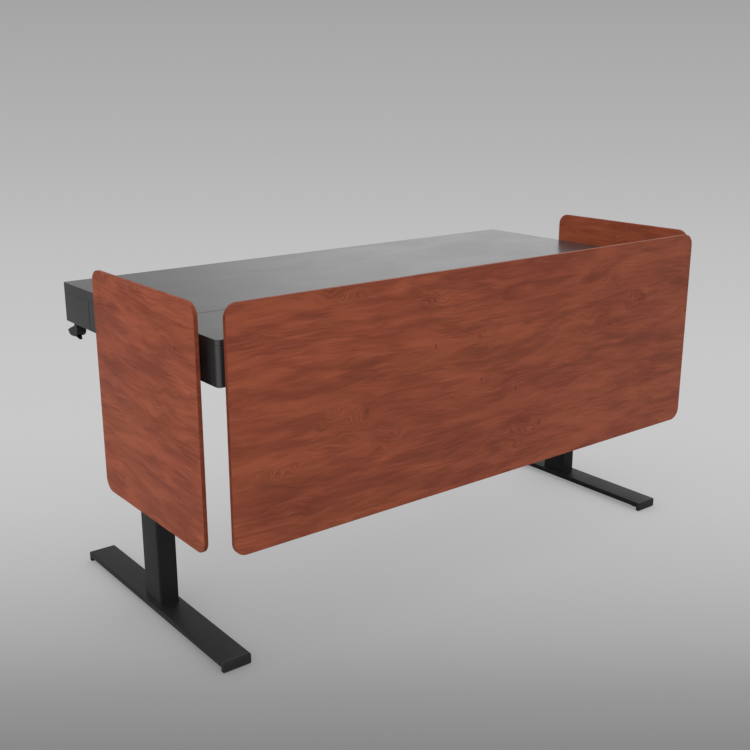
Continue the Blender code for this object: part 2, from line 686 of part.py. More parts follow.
def make_side_panel(side, sign):
    panel("side_panel_" + side, SIDE_PANEL_DEPTH, sign * (SIDE_PANEL_X - PANEL_T / 2),
          SIDE_PANEL_Y0 + SIDE_PANEL_DEPTH / 2, "YZ")
    for end, y in SIDE_BRACKETS:
        z_bracket("side_bracket_%s_%s" % (end, side), DESK_HALF_W + GAP,
                  SIDE_PANEL_X - PANEL_T - GAP, (0.0, y),
                  SIDE_BRACKET_HALF_W, SIDE_BRACKET_H, -90 * sign)


# ---------------------------------------------------------------- hand control
def make_hand_control():
    housing = outline("hand_control_housing", [HOUSING_OUTLINE], 2 * CTRL_HALF_W,
                      (CTRL_X, 0.0, 0.0), "YZ")
    add_bevel(housing, CTRL_BEVEL, angle=15)
    # slot under the housing where the paddle swings
    cut(housing, block("paddle_slot", (CTRL_X - SLOT_HALF_W, SLOT_Y0, SLOT_Z0),
                       (CTRL_X + SLOT_HALF_W, SLOT_Y1, SLOT_Z1), collection=CUTTERS))
    dress(housing, PLASTIC_BLACK, TOP, smooth=40)

    paddle = outline("hand_control_paddle", [PADDLE_OUTLINE], PADDLE_W,
                     (CTRL_X, PADDLE_AXIS_Y, PADDLE_AXIS_Z), "YZ")
    dress(paddle, PLASTIC_BLACK, PADDLE)


# --------------------------------------------------------------------- cables
def make_cables():
    box_left = CONTROL_BOX_X0 - CABLE_GAP
    box_right = CONTROL_BOX_X1 + CABLE_GAP
    for side, sign in SIDES:
        motor_x = sign * (MOTOR_X0 - CABLE_GAP)
        wire("motor_cable_" + side,
             [(motor_x, LEG_Y, MOTOR_Z), (motor_x - sign * 0.045, LEG_Y, MOTOR_Z),
              (motor_x - sign * 0.075, -0.1300, 0.7520), (sign * 0.260, -0.2000, 0.7640),
              (box_right if sign > 0 else box_left, -0.2000, 0.7640)],
             MOTOR_CABLE_R)
    # from the rear of the control box, down into the power strip
    wire("power_cable",
         [(0.0200, CONTROL_BOX_Y1 + CABLE_GAP, 0.7640), (0.0200, -0.1400, 0.7640),
          (0.0600, -0.0500, 0.7440), (0.0600, 0.1200, 0.7440), (0.0600, 0.1460, 0.7700),
          (0.0600, 0.2000, 0.7700), (0.1000, 0.2700, 0.7700),
          (0.1000, 0.2700, STRIP_Z1 + CABLE_GAP)],
         POWER_CABLE_R)
    # from the neck of the hand control to the right end of the control box
    wire("control_cable",
         [(CTRL_X - CTRL_HALF_W - CABLE_GAP, CTRL_NECK_Y, 0.6940),
          (0.7300, CTRL_NECK_Y, 0.6940), (0.7100, -0.3600, 0.7400),
          (0.5600, -0.3000, 0.7500), (0.2600, -0.2250, 0.7540),
          (box_right, -0.2250, 0.7540)],
         CONTROL_CABLE_R)


# ------------------------------------------------------------------- assembly
for side, sign in SIDES:
    leg_x = sign * LEG_X
    make_foot(side, leg_x)
    for end, toward in ENDS:
        make_foot_cap(side, leg_x, end, toward)
        make_glide(side, leg_x, end, toward)
    make_column(side, leg_x)
    make_lift_screw(side, leg_x)
    make_drive(side, sign)
    make_support(side, sign)
    make_side_panel(side, sign)
for rail_end, rail_y0, rail_y1 in RAILS:
    make_rail(rail_end, rail_y0, rail_y1)
make_worktop()
make_skirt_front()
make_skirt_rear()
make_trough()
make_electrics()
make_rear_lid()
make_hinge()
make_back_panel()
make_hand_control()
make_cables()
bpy.context.view_layer.update()
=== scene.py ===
"""Electric box desk: fine geometry, materials, studio floor, light and camera.

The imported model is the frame.  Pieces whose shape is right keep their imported
mesh and get rounded edges from modifiers; the others are rebuilt finer in the
space their node holds.  Metres, +Z up, the user sits at -Y, +X is the user's
right hand.
"""

import math
from collections import namedtuple

import bmesh
import bpy
from mathutils import Euler, Matrix, Vector


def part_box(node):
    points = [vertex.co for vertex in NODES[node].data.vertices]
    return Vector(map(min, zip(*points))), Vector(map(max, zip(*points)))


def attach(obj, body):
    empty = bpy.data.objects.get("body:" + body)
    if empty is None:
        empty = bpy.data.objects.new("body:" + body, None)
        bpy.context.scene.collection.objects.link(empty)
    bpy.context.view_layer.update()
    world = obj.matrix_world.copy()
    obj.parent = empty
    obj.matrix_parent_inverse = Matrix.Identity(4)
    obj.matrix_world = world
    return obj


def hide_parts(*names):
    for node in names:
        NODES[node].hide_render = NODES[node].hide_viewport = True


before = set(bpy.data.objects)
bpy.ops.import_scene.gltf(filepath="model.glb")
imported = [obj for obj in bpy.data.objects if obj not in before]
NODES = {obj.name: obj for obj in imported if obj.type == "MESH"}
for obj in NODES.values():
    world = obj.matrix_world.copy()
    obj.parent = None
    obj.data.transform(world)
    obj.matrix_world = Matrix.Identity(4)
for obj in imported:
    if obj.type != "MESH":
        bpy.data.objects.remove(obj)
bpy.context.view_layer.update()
SIDES = (("left", -1), ("right", 1))
ENDS = (("front", -1), ("rear", 1))


# ================================================================= node graphs
def triple(value):
    return tuple(value) if isinstance(value, (tuple, list)) else (value,) * 3


def shade(colour, gain, lift=0.0):
    """A colour made lighter or darker by a gain and a lift."""
    return tuple(min(1.0, c * gain + lift) for c in colour)


class Graph:
    """A node tree built up from small named steps."""

    def __init__(self, tree):
        self.tree = tree
        tree.nodes.clear()

    def put(self, socket, value):
        if isinstance(value, bpy.types.NodeSocket):
            self.tree.links.new(value, socket)
        elif value is not None:
            socket.default_value = value

    def node(self, kind, inputs=None, **props):
        node = self.tree.nodes.new(kind)
        for key, value in props.items():
            setattr(node, key, value)
        for key, value in (inputs or {}).items():
            self.put(node.inputs[key], value)
        return node

    def coords(self, kind):
        return self.node("ShaderNodeTexCoord").outputs[kind]

    def split(self, vector):
        return self.node("ShaderNodeSeparateXYZ", {0: vector}).outputs

    def math(self, operation, *values):
        return self.node("ShaderNodeMath", dict(enumerate(values)), operation=operation).outputs[0]

    def plus(self, first, second):
        return self.math("ADD", first, second)

    def minus(self, first, second):
        return self.math("SUBTRACT", first, second)

    def times(self, first, second):
        return self.math("MULTIPLY", first, second)

    def scaled_colour(self, colour, gain):
        return self.node("ShaderNodeVectorMath", {0: colour, "Scale": gain},
                         operation="SCALE").outputs[0]

    def remap(self, value, between, to=(0.0, 1.0), curve="LINEAR"):
        return self.node("ShaderNodeMapRange", {
            "Value": value, "From Min": between[0], "From Max": between[1],
            "To Min": to[0], "To Max": to[1]}, interpolation_type=curve).outputs[0]

    def mix_shaders(self, factor, first, second):
        return self.node("ShaderNodeMixShader", {0: factor, 1: first, 2: second}).outputs[0]


class Surface(Graph):
    """A material on the principled shader."""

    def __init__(self, name):
        self.material = bpy.data.materials.new(name)
        self.material.use_nodes = True
        super().__init__(self.material.node_tree)
        self.bsdf = self.node("ShaderNodeBsdfPrincipled")
        self.node("ShaderNodeOutputMaterial", {"Surface": self.bsdf.outputs[0]})
        self.object = self.coords("Object")

    def scaled(self, scale=1.0, offset=0.0):
        return self.node("ShaderNodeMapping", {
            "Vector": self.object, "Scale": triple(scale), "Location": triple(offset)}).outputs[0]

    def noise(self, vector, scale=1.0, detail=3.0, rough=0.5, distort=0.0):
        return self.node("ShaderNodeTexNoise", {
            "Vector": vector, "Scale": scale, "Detail": detail, "Roughness": rough,
            "Distortion": distort}).outputs[0]

    def voronoi(self, vector, scale=1.0):
        return self.node("ShaderNodeTexVoronoi", {
            "Vector": vector, "Scale": scale}).outputs["Distance"]

    def weighted(self, *terms):
        """The sum of values, each times its weight."""
        total = self.times(*terms[0])
        for term in terms[1:]:
            total = self.plus(total, self.times(*term))
        return total

    def centred(self, value, amount):
        """A 0 to 1 value as a swing of amount about zero."""
        return self.times(self.minus(value, 0.5), amount)

    def over(self, base, colour, where, share=None):
        """Lays colour over base by the mask where, at most to share."""
        node = self.node("ShaderNodeMix", data_type="RGBA")
        mask = where if share is None else self.times(where, share)
        for index, value in ((0, mask), (6, base), (7, colour)):
            if isinstance(value, tuple):
                value = (*value, 1.0)
            self.put(node.inputs[index], value)
        return node.outputs[2]

    def edges(self, radius):
        """1 on convex and concave edges narrower than radius, 0 on flats."""
        soft = self.node("ShaderNodeBevel", {"Radius": radius}, samples=3).outputs[0]
        true = self.node("ShaderNodeNewGeometry").outputs["Normal"]
        dot = self.node("ShaderNodeVectorMath", {0: soft, 1: true},
                        operation="DOT_PRODUCT").outputs["Value"]
        return self.remap(dot, between=(0.985, 0.90))

    def done(self, colour, rough, height, depth, strength, specular=None, metallic=None):
        """Sets the shader, with a bump from height, and returns the material."""
        bump = self.node("ShaderNodeBump", {
            "Height": height, "Distance": depth, "Strength": strength}).outputs[0]
        for key, value in (("Base Color", colour), ("Roughness", rough), ("Normal", bump),
                           ("Specular IOR Level", specular), ("Metallic", metallic)):
            self.put(self.bsdf.inputs[key], value)
        return self.material


# =================================================================== materials
MIDDLE_BAND = (0.3, 0.7)        # the part of a noise's range that shows


def powder_coat(name, colour, seed=0.0, roughness=0.44):
    """Fine matt powder coat: orange peel, slight mottling, edges rubbed a little."""
    mat = Surface(name)
    place = mat.scaled(offset=(seed, seed * 0.7, seed * 1.3))
    peel = mat.noise(place, scale=620.0, detail=2.0, rough=0.55)
    grit = mat.noise(place, scale=2300.0, detail=2.0)
    mottle = mat.noise(place, scale=9.0, detail=4.0, rough=0.55)
    worn = mat.noise(place, scale=55.0, detail=4.0, rough=0.6)
    rub = mat.times(mat.edges(radius=0.0014), mat.remap(worn, between=(0.40, 0.66)))
    dust = mat.remap(mat.noise(place, scale=34.0, detail=6.0, rough=0.65), between=(0.52, 0.80))
    base = mat.over(colour, shade(colour, gain=1.22), where=mat.remap(mottle, MIDDLE_BAND))
    base = mat.over(base, shade(colour, gain=1.6, lift=0.012), where=dust, share=0.30)
    base = mat.over(base, shade(colour, gain=2.2, lift=0.022), where=rub, share=0.55)
    rough = mat.plus(mat.remap(mottle, MIDDLE_BAND, to=(roughness - 0.04, roughness + 0.05)),
                     mat.centred(grit, amount=0.10))
    return mat.done(base, rough, mat.weighted((peel, 0.75), (grit, 0.25)),
                    depth=0.00016, strength=0.85, specular=0.13)


def moulded_plastic(name, colour, seed=0.0, roughness=0.50, grain=1500.0, depth=0.00010):
    """Spark-eroded plastic with a faint bloom and slightly polished edges."""
    mat = Surface(name)
    place = mat.scaled(offset=(seed, seed * 1.1, seed * 0.6))
    cells = mat.voronoi(place, scale=grain)
    fine = mat.noise(place, scale=grain * 1.8, detail=2.0, rough=0.6)
    flow = mat.noise(mat.scaled((1.0, 1.0, 2.2), offset=seed), scale=22.0, detail=4.0)
    edge = mat.edges(radius=0.0010)
    base = mat.over(colour, shade(colour, gain=1.35, lift=0.002),
                    where=mat.remap(flow, between=(0.3, 0.75)))
    base = mat.over(base, shade(colour, gain=2.2, lift=0.012), where=edge, share=0.35)
    cloudy = mat.remap(flow, between=(0.25, 0.75), to=(roughness - 0.03, roughness + 0.06))
    rough = mat.minus(cloudy, mat.times(edge, 0.10))
    return mat.done(base, rough, mat.weighted((cells, 0.6), (fine, 0.4)),
                    depth=depth, strength=0.9, specular=0.30)


def laminate(name, colour, seed=0.0, roughness=0.36, pearl=900.0, depth=0.00005,
             haze=0.05, speck=0.10, gloss=0.5):
    """Satin board laminate: pearl texture, faint smudges and fine dust."""
    mat = Surface(name)
    place = mat.scaled(offset=(seed, seed * 0.4, seed))
    grain = mat.noise(place, scale=pearl, rough=0.6)
    streak = mat.noise(mat.scaled((12.0, 260.0, 260.0), offset=seed), rough=0.6)
    smear = mat.noise(mat.scaled((2.0, 3.4, 3.0), offset=seed),
                      scale=1.6, detail=5.0, rough=0.55, distort=0.6)
    dust = mat.remap(mat.noise(place, scale=420.0, detail=4.0, rough=0.7), between=(0.60, 0.78))
    tone = mat.noise(place, scale=3.2)
    base = mat.over(shade(colour, gain=0.92), shade(colour, gain=1.10),
                    where=mat.remap(tone, MIDDLE_BAND))
    base = mat.over(base, shade(colour, gain=2.6, lift=0.02), where=dust, share=speck)
    base = mat.over(base, shade(colour, gain=0.7),
                    where=mat.remap(streak, between=(0.35, 0.70)), share=0.10)
    rough = mat.plus(mat.remap(smear, MIDDLE_BAND, to=(roughness - haze, roughness + haze)),
                     mat.centred(grain, amount=0.08))
    return mat.done(base, rough, mat.weighted((grain, 0.8), (streak, 0.2)),
                    depth=depth, strength=0.8, specular=gloss)


# cherry tones, linear
CHERRY_LIGHT = (0.425, 0.104, 0.046)
CHERRY_MID = (0.288, 0.0640, 0.0285)
CHERRY_DARK = (0.180, 0.0365, 0.0170)
CHERRY_LINE = (0.105, 0.0215, 0.0125)
CHERRY_EARLY = (0.47, 0.132, 0.066)
CHERRY_WARM = ((0.255, 0.048, 0.034), (0.275, 0.080, 0.028))
CHERRY_GUM = (0.040, 0.014, 0.011)
CHERRY_BAND = (0.125, 0.027, 0.0140)

# cherry noises: scale along and across the grain, shift, detail, roughness, distortion
CHERRY_NOISE = {
    "wander": (1.3, 2.2, 0.0, 2.0, 0.5, 0.0),
    "ripple": (9.0, 16.0, 3.0, 2.0, 0.5, 0.0),
    "curl": (12.0, 20.0, 9.0, 1.0, 0.5, 0.0),
    "knots": (5.2, 10.0, 12.0, 2.0, 0.5, 0.0),
    "late_cluster": (4.6, 10.0, 8.0, 2.0, 0.5, 0.0),
    "late_broken": (17.0, 62.0, 14.0, 1.0, 0.5, 0.0),
    "early_cluster": (5.0, 11.0, 18.0, 2.0, 0.5, 0.0),
    "early_broken": (19.0, 70.0, 33.0, 1.0, 0.5, 0.0),
    "fine_feather": (8.0, 150.0, 27.0, 2.0, 0.55, 0.0),
    "wide_feather": (4.5, 46.0, 29.0, 1.0, 0.5, 0.0),
    "patch": (5.4, 23.0, 1.0, 2.0, 0.5, 0.6),
    "cloud": (1.7, 6.0, 5.0, 2.0, 0.5, 0.0),
    "small": (10.5, 52.0, 7.0, 2.0, 0.5, 0.5),
    "dark_streak": (9.0, 190.0, 2.0, 2.0, 0.6, 0.0),
    "light_streak": (8.0, 170.0, 22.0, 2.0, 0.6, 0.0),
    "fibre": (30.0, 1500.0, 4.0, 2.0, 0.6, 0.0),
    "warm": (3.0, 7.0, 11.0, 2.0, 0.5, 0.0),
    "sheen": (3.0, 5.0, 17.0, 4.0, 0.55, 0.0),
}


def cherry(name, axis, seed, band=False, specular=0.22, gain=1.0):
    """Cherry laminate; the grain runs along the X or Y axis, across it is Z.

    Soft light and dark clouds lie along the grain.  Growth lines show only in
    clusters and break off, a few of them curl round small knots.  Fine streaks,
    pores and short gum flecks cross the rest.
    """
    mat = Surface(name)
    parts = mat.split(mat.object)
    length, height = parts[axis], parts["Z"]

    def stretched(run, across, scales, shifts, depth):
        return mat.node("ShaderNodeCombineXYZ", {
            "X": mat.math("MULTIPLY_ADD", run, scales[0], shifts[0]),
            "Y": mat.math("MULTIPLY_ADD", across, scales[1], shifts[1]),
            "Z": depth}).outputs[0]

    def plane(along, across, shift):
        return stretched(length, height, (along, across),
                         (seed + shift, seed * 0.7 - shift), seed + shift * 0.5)

    def grain(along, across, shift):
        return stretched(length, flow, (along, across), (seed + shift, shift), seed)

    def feathered(along, across, shift):
        return stretched(run, flow, (along, across), (seed + shift, shift), seed)

    def layer(space, key):
        along, across, shift, detail, rough, distort = CHERRY_NOISE[key]
        return mat.noise(space(along, across, shift), detail=detail, rough=rough, distort=distort)

    def lines(per_metre, sharpness, shift):
        """Growth lines, so many to the metre across the grain."""
        wobble = mat.centred(mat.noise(grain(3.0, 12.0, shift), detail=2.0), amount=10.0)
        wave = mat.math("SINE", mat.math("MULTIPLY_ADD", flow, 2 * math.pi * per_metre, wobble))
        return mat.math("POWER", mat.math("MULTIPLY_ADD", wave, 0.5, 0.5), sharpness)

    # height bent by the wandering grain, and more so round knots
    knots = mat.remap(layer(plane, "knots"), between=(0.52, 0.68))
    flow = mat.plus(height, mat.centred(layer(plane, "wander"), amount=0.085))
    flow = mat.plus(flow, mat.centred(layer(plane, "ripple"), amount=0.016))
    flow = mat.plus(flow, mat.times(mat.centred(layer(plane, "curl"), amount=0.125), knots))

    def patchy_lines(kind, cluster_band, **settings):
        broken = mat.remap(layer(grain, kind + "_broken"), between=(0.46, 0.60))
        cluster = mat.remap(layer(grain, kind + "_cluster"), between=cluster_band)
        return mat.times(lines(**settings), mat.times(cluster, broken))

    late = patchy_lines("late", (0.50, 0.60), per_metre=84.0, sharpness=5.0, shift=2.0)
    knot_lines = mat.times(lines(per_metre=150.0, sharpness=4.0, shift=4.0), knots)
    early = patchy_lines("early", (0.50, 0.60), per_metre=96.0, sharpness=6.0, shift=6.0)

    # length with feathered ends for the clouds
    run = mat.plus(length, mat.plus(mat.centred(layer(plane, "fine_feather"), amount=0.10),
                                    mat.centred(layer(plane, "wide_feather"), amount=0.12)))
    fibre = layer(grain, "fibre")
    pores = mat.voronoi(grain(60.0, 1100.0, 6.0))
    pore_band = (0.20, 0.06)
    streak_band = (0.52, 0.72)

    tone = mat.weighted(
        (mat.remap(layer(feathered, "patch"), between=(0.36, 0.64)), 0.44),
        (mat.remap(layer(feathered, "cloud"), between=(0.36, 0.64)), 0.18),
        (mat.remap(layer(feathered, "small"), between=(0.34, 0.66)), 0.38))
    base = mat.over(CHERRY_DARK, CHERRY_MID,
                    where=mat.remap(tone, between=(0.14, 0.50), to=(0.26, 1.0)))
    base = mat.over(base, CHERRY_LIGHT,
                    where=mat.remap(tone, between=(0.44, 0.90), to=(0.0, 0.82)))
    warm = mat.over(*CHERRY_WARM, where=mat.remap(layer(grain, "warm"), MIDDLE_BAND))
    base = mat.over(base, warm, where=0.20)
    base = mat.over(base, CHERRY_DARK,
                    where=mat.remap(layer(grain, "dark_streak"), streak_band), share=0.24)
    base = mat.over(base, CHERRY_LIGHT,
                    where=mat.remap(layer(grain, "light_streak"), streak_band), share=0.22)
    base = mat.over(base, CHERRY_EARLY, where=early, share=0.40)
    base = mat.over(base, CHERRY_LINE, where=late, share=0.28)
    base = mat.over(base, CHERRY_LINE, where=knot_lines, share=0.55)
    base = mat.over(base, CHERRY_LINE, where=mat.remap(fibre, between=(0.48, 0.74)), share=0.12)
    pore = mat.times(mat.remap(pores, pore_band), 0.24)
    base = mat.over(base, CHERRY_LINE, where=pore)
    # painted light: a gain above 1 brightens this copy's colour, standing in for more light falling
    # on that panel
    if gain != 1.0:
        base = mat.scaled_colour(base, gain)
    # pin marks, and sparse gum flecks across the grain
    pin = mat.remap(mat.voronoi(plane(6.0, 8.0, 13.0)), between=(0.030, 0.014))
    fleck = mat.remap(mat.voronoi(plane(15.0, 4.4, 21.0)), between=(0.034, 0.018))
    base = mat.over(base, CHERRY_GUM, where=pin, share=0.85)
    base = mat.over(base, CHERRY_GUM, where=fleck, share=0.80)
    if band:
        base = mat.over(base, CHERRY_BAND, where=0.52)
    rough = mat.plus(mat.remap(layer(plane, "sheen"), MIDDLE_BAND, to=(0.38, 0.47)),
                     mat.times(mat.plus(late, pore), 0.20))
    if band:
        rough = mat.plus(rough, 0.06)
    hollows = mat.plus(mat.times(mat.remap(pores, pore_band), 0.6),
                       mat.weighted((late, 0.5), (fibre, 0.4)))
    return mat.done(base, rough, mat.minus(1.0, hollows),
                    depth=0.00009, strength=0.8, specular=specular)


def plated_steel(name, colour=(0.56, 0.57, 0.58), seed=0.0, roughness=0.32, axis=2,
                 passivated=True):
    """Plated steel: drawn lines, blotchy crystal bloom; passivated adds blue and yellow."""
    mat = Surface(name)
    squeeze = [320.0, 320.0, 320.0]
    squeeze[axis] = 7.0
    lines = mat.noise(mat.scaled(squeeze, offset=seed), rough=0.65)
    place = mat.scaled(offset=(seed, seed, seed * 0.5))
    bloom = mat.voronoi(place, scale=130.0)
    base = mat.over(shade(colour, gain=0.86), colour, where=mat.remap(bloom, between=(0.1, 0.8)))
    if passivated:
        tint = mat.noise(place, scale=16.0)
        base = mat.over(base, (0.58, 0.56, 0.44),
                        where=mat.remap(tint, between=(0.35, 0.65), to=(0.0, 0.28)))
        base = mat.over(base, (0.46, 0.53, 0.62),
                        where=mat.remap(tint, between=(0.62, 0.35), to=(0.0, 0.22)))
    rough = mat.plus(mat.remap(lines, MIDDLE_BAND, to=(roughness - 0.08, roughness + 0.10)),
                     mat.times(mat.remap(bloom, between=(0.0, 0.8)), 0.06))
    return mat.done(base, rough, lines, depth=0.00004, strength=0.6, metallic=1.0)


def die_cast(name, colour=(0.36, 0.36, 0.37)):
    """Blasted cast alloy, swirled in tone and brighter on the edges."""
    mat = Surface(name)
    place = mat.scaled()
    blast = mat.noise(place, scale=1400.0, rough=0.65)
    swirl = mat.noise(place, scale=26.0, detail=5.0, rough=0.6, distort=1.2)
    edge = mat.edges(radius=0.0012)
    base = mat.over(shade(colour, gain=0.82), shade(colour, gain=1.12),
                    where=mat.remap(swirl, MIDDLE_BAND))
    base = mat.over(base, (0.62, 0.62, 0.63), where=edge, share=0.4)
    rough = mat.minus(mat.remap(swirl, MIDDLE_BAND, to=(0.44, 0.58)), mat.times(edge, 0.16))
    return mat.done(base, rough, blast, depth=0.00014, strength=0.9, metallic=1.0)


def rubber(name, colour=(0.013, 0.013, 0.014), seed=0.0, roughness=0.62, scale=520.0):
    mat = Surface(name)
    place = mat.scaled(offset=seed)
    skin_noise = mat.noise(place, scale=scale, detail=4.0, rough=0.6)
    chalk = mat.remap(mat.noise(place, scale=45.0, detail=5.0, rough=0.65), between=(0.48, 0.80))
    base = mat.over(colour, shade(colour, gain=2.4, lift=0.01), where=chalk, share=0.45)
    rough = mat.remap(chalk, between=(0.0, 1.0), to=(roughness - 0.06, roughness + 0.08))
    return mat.done(base, rough, skin_noise, depth=0.00010, strength=0.8, specular=0.4)


def clear_lens(name, colour):
    mat = Surface(name)
    glow = mat.noise(mat.scaled(), scale=900.0, detail=2.0)
    base = mat.over(shade(colour, gain=0.8), colour, where=mat.remap(glow, MIDDLE_BAND))
    return mat.done(base, mat.remap(glow, MIDDLE_BAND, to=(0.10, 0.18)), glow,
                    depth=0.00003, strength=0.5)


BLACK = (0.0180, 0.0180, 0.0188)
CHARCOAL = dict(colour=(0.030, 0.030, 0.032), roughness=0.24, depth=0.00003, haze=0.03)

MATERIALS = {
    "powder": powder_coat("powder_coat_black_fine", BLACK),
    "powder_tray": powder_coat("powder_coat_black_sheet", BLACK, seed=4.0, roughness=0.48),
    "powder_motor": powder_coat("powder_coat_black_motor", (0.0115, 0.0115, 0.012),
                                seed=8.0, roughness=0.36),
    "plastic": moulded_plastic("plastic_black_texture", (0.0125, 0.0125, 0.0135)),
    "plastic_smooth": moulded_plastic("plastic_black_satin", (0.0135, 0.0135, 0.014), seed=3.0,
                                      roughness=0.34, grain=2600.0, depth=0.00004),
    "plastic_grey": moulded_plastic("plastic_dark_grey", (0.055, 0.056, 0.060), seed=6.0,
                                    roughness=0.42, grain=2000.0, depth=0.00005),
    "plastic_key": moulded_plastic("plastic_key_grey", (0.21, 0.21, 0.22), seed=7.0,
                                   roughness=0.40, grain=2600.0, depth=0.00003),
    "top": laminate("worktop_charcoal_laminate", **CHARCOAL),
    "lid": laminate("rear_lid_laminate", seed=5.0, **CHARCOAL),
    "backing": laminate("board_backing_sheet", (0.017, 0.017, 0.018), seed=9.0, roughness=0.56,
                        pearl=500.0, depth=0.00010, haze=0.04, speck=0.22),
    "skirt": laminate("skirt_black_laminate", (0.036, 0.036, 0.037), seed=11.0,
                      roughness=0.42, gloss=0.24),
    # painted highlight: the rear corner arcs are lighter than the rest of the skirt; the lower
    # roughness and higher gloss are their finish
    "skirt_corner": laminate("skirt_corner_painted_highlight", (0.060, 0.060, 0.061), seed=14.0,
                             roughness=0.30, gloss=0.60),
    "skirt_band": laminate("skirt_edge_band", (0.024, 0.024, 0.025), seed=12.0, roughness=0.46,
                           pearl=1300.0, depth=0.00004, haze=0.03, gloss=0.34),
    "cherry_x": cherry("cherry_grain_across", "X", seed=1.7),
    # painted light: the right side panel's cherry is 10 % brighter than the other panels' cherry,
    # standing in for more light on it
    "cherry_y_right": cherry("cherry_grain_right_painted_lighter", "Y", seed=6.2, specular=0.10, gain=1.10),
    "cherry_y_left": cherry("cherry_grain_left", "Y", seed=11.9, specular=0.14),
    "cherry_band_x": cherry("cherry_edge_across", "X", seed=2.6, band=True, specular=0.14),
    "cherry_band_y": cherry("cherry_edge_side", "Y", seed=8.4, band=True, specular=0.10),
    "zinc": plated_steel("zinc_plated_steel"),
    "zinc_x": plated_steel("zinc_plated_hinge", seed=3.0, axis=0),
    "screw_black": plated_steel("screw_black_oxide", (0.055, 0.055, 0.060), seed=5.0,
                                roughness=0.36, passivated=False),
    "steel_bright": plated_steel("steel_bright_ground", (0.64, 0.64, 0.65), seed=7.0,
                                 roughness=0.22, passivated=False),
    "cast": die_cast("die_cast_alloy"),
    "cable": rubber("cable_black_jacket"),
    "rubber": rubber("glide_rubber_pad", (0.020, 0.020, 0.021), seed=3.0,
                     roughness=0.75, scale=900.0),
    "lamp": clear_lens("indicator_lens_amber", (0.55, 0.20, 0.02)),
}

# frame slot of a piece, by the first word of its first material's key
SLOTS = {
    "powder": "powder_coat_black", "plastic": "plastic_black", "lamp": "plastic_black",
    "top": "worktop_charcoal", "lid": "worktop_charcoal", "skirt": "skirt_black",
    "cherry": "cherry_wood", "zinc": "zinc_steel", "screw": "zinc_steel", "steel": "zinc_steel",
    "cast": "cast_alloy", "cable": "cable_black",
}


# ============================================================== finished pieces
XYZ = namedtuple("XYZ", "x y z")
Box = namedtuple("Box", "low high size mid")


def node_box(node):
    """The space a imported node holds."""
    low, high = (XYZ(corner.x, corner.y, corner.z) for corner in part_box(node))
    pairs = list(zip(low, high))
    return Box(low, high, XYZ(*(b - a for a, b in pairs)), XYZ(*((a + b) / 2 for a, b in pairs)))


def finish(name, shape, materials, body="desk_top", replaces=None, sharp=None):
    """Turns a bmesh into an object; edges over sharp degrees stay crisp."""
    keys = materials.split()
    bmesh.ops.recalc_face_normals(shape, faces=shape.faces)
    mesh = bpy.data.meshes.new(name)
    shape.to_mesh(mesh)
    shape.free()
    for key in keys:
        mesh.materials.append(MATERIALS[key])
    obj = bpy.data.objects.new(name, mesh)
    bpy.context.scene.collection.objects.link(obj)
    mesh.shade_smooth()
    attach(obj, body)
    SLOTS[keys[0].split("_")[0]]
    if replaces:
        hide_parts(replaces)
    if sharp is not None:
        mesh.set_sharp_from_angle(angle=math.radians(sharp))
    return obj


def add_weighted_normals(obj, weight):
    normals = obj.modifiers.new("weighted_normals", "WEIGHTED_NORMAL")
    normals.keep_sharp = True
    normals.weight = weight


def round_edges(obj, width, segments=2, angle=50.0, material=-1, weld=False):
    if weld:
        obj.modifiers.new("weld", "WELD").merge_threshold = 0.00002
    bevel = obj.modifiers.new("rounded_edges", "BEVEL")
    bevel.width = width
    bevel.segments = segments
    bevel.limit_method = "ANGLE"
    bevel.angle_limit = math.radians(angle)
    bevel.use_clamp_overlap = True
    bevel.material = material
    bevel.miter_outer = "MITER_ARC"
    obj.modifiers.new("tidy", "WELD").merge_threshold = 0.000008
    add_weighted_normals(obj, 60)


def weigh(obj, weight=80):
    """Flat faces shade flat, and edges over 50 degrees stay crisp."""
    shape = bmesh.new()
    shape.from_mesh(obj.data)
    for edge in shape.edges:
        if len(edge.link_faces) == 2 and edge.calc_face_angle(0.0) > math.radians(50.0):
            edge.smooth = False
    shape.to_mesh(obj.data)
    shape.free()
    add_weighted_normals(obj, weight)
    return obj


def keep(node, material, width, segments=2, angle=50.0):
    """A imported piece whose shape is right: rounded edges and its material."""
    obj = NODES[node]
    obj.data.materials.clear()
    obj.data.materials.append(MATERIALS[material])
    for face in obj.data.polygons:
        face.material_index = 0
    obj.data.shade_smooth()
    round_edges(obj, width, segments, angle, weld=True)


# ==================================================================== outlines
def arc(x, y, radius, start, end, steps=12):
    turns = [math.radians(start + (end - start) * k / steps) for k in range(steps + 1)]
    return [(x + radius * math.cos(turn), y + radius * math.sin(turn)) for turn in turns]


def rect(width, depth, radius, steps=8, centre=(0.0, 0.0)):
    """A rectangle with round corners, anticlockwise."""
    points = []
    for right, up, start in ((1, 1, 0), (-1, 1, 90), (-1, -1, 180), (1, -1, 270)):
        points += arc(centre[0] + right * (width / 2 - radius),
                      centre[1] + up * (depth / 2 - radius), radius, start, start + 90.0, steps)
    return points


def circle(radius, count, centre, start=0.0):
    turns = [start + 2 * math.pi * k / count for k in range(count)]
    return [(centre[0] + radius * math.cos(turn), centre[1] + radius * math.sin(turn))
            for turn in turns]


def edge_profile(bottom, top, low_radius, high_radius, steps=4):
    """(inset, height) of quarter-round edges between two heights."""
    turns = [math.radians(90.0 * k / steps) for k in range(steps + 1)]
    return ([(low_radius * (1 - math.sin(turn)), bottom + low_radius * (1 - math.cos(turn)))
             for turn in turns]
            + [(high_radius * (1 - math.cos(turn)), top - high_radius * (1 - math.sin(turn)))
               for turn in turns])


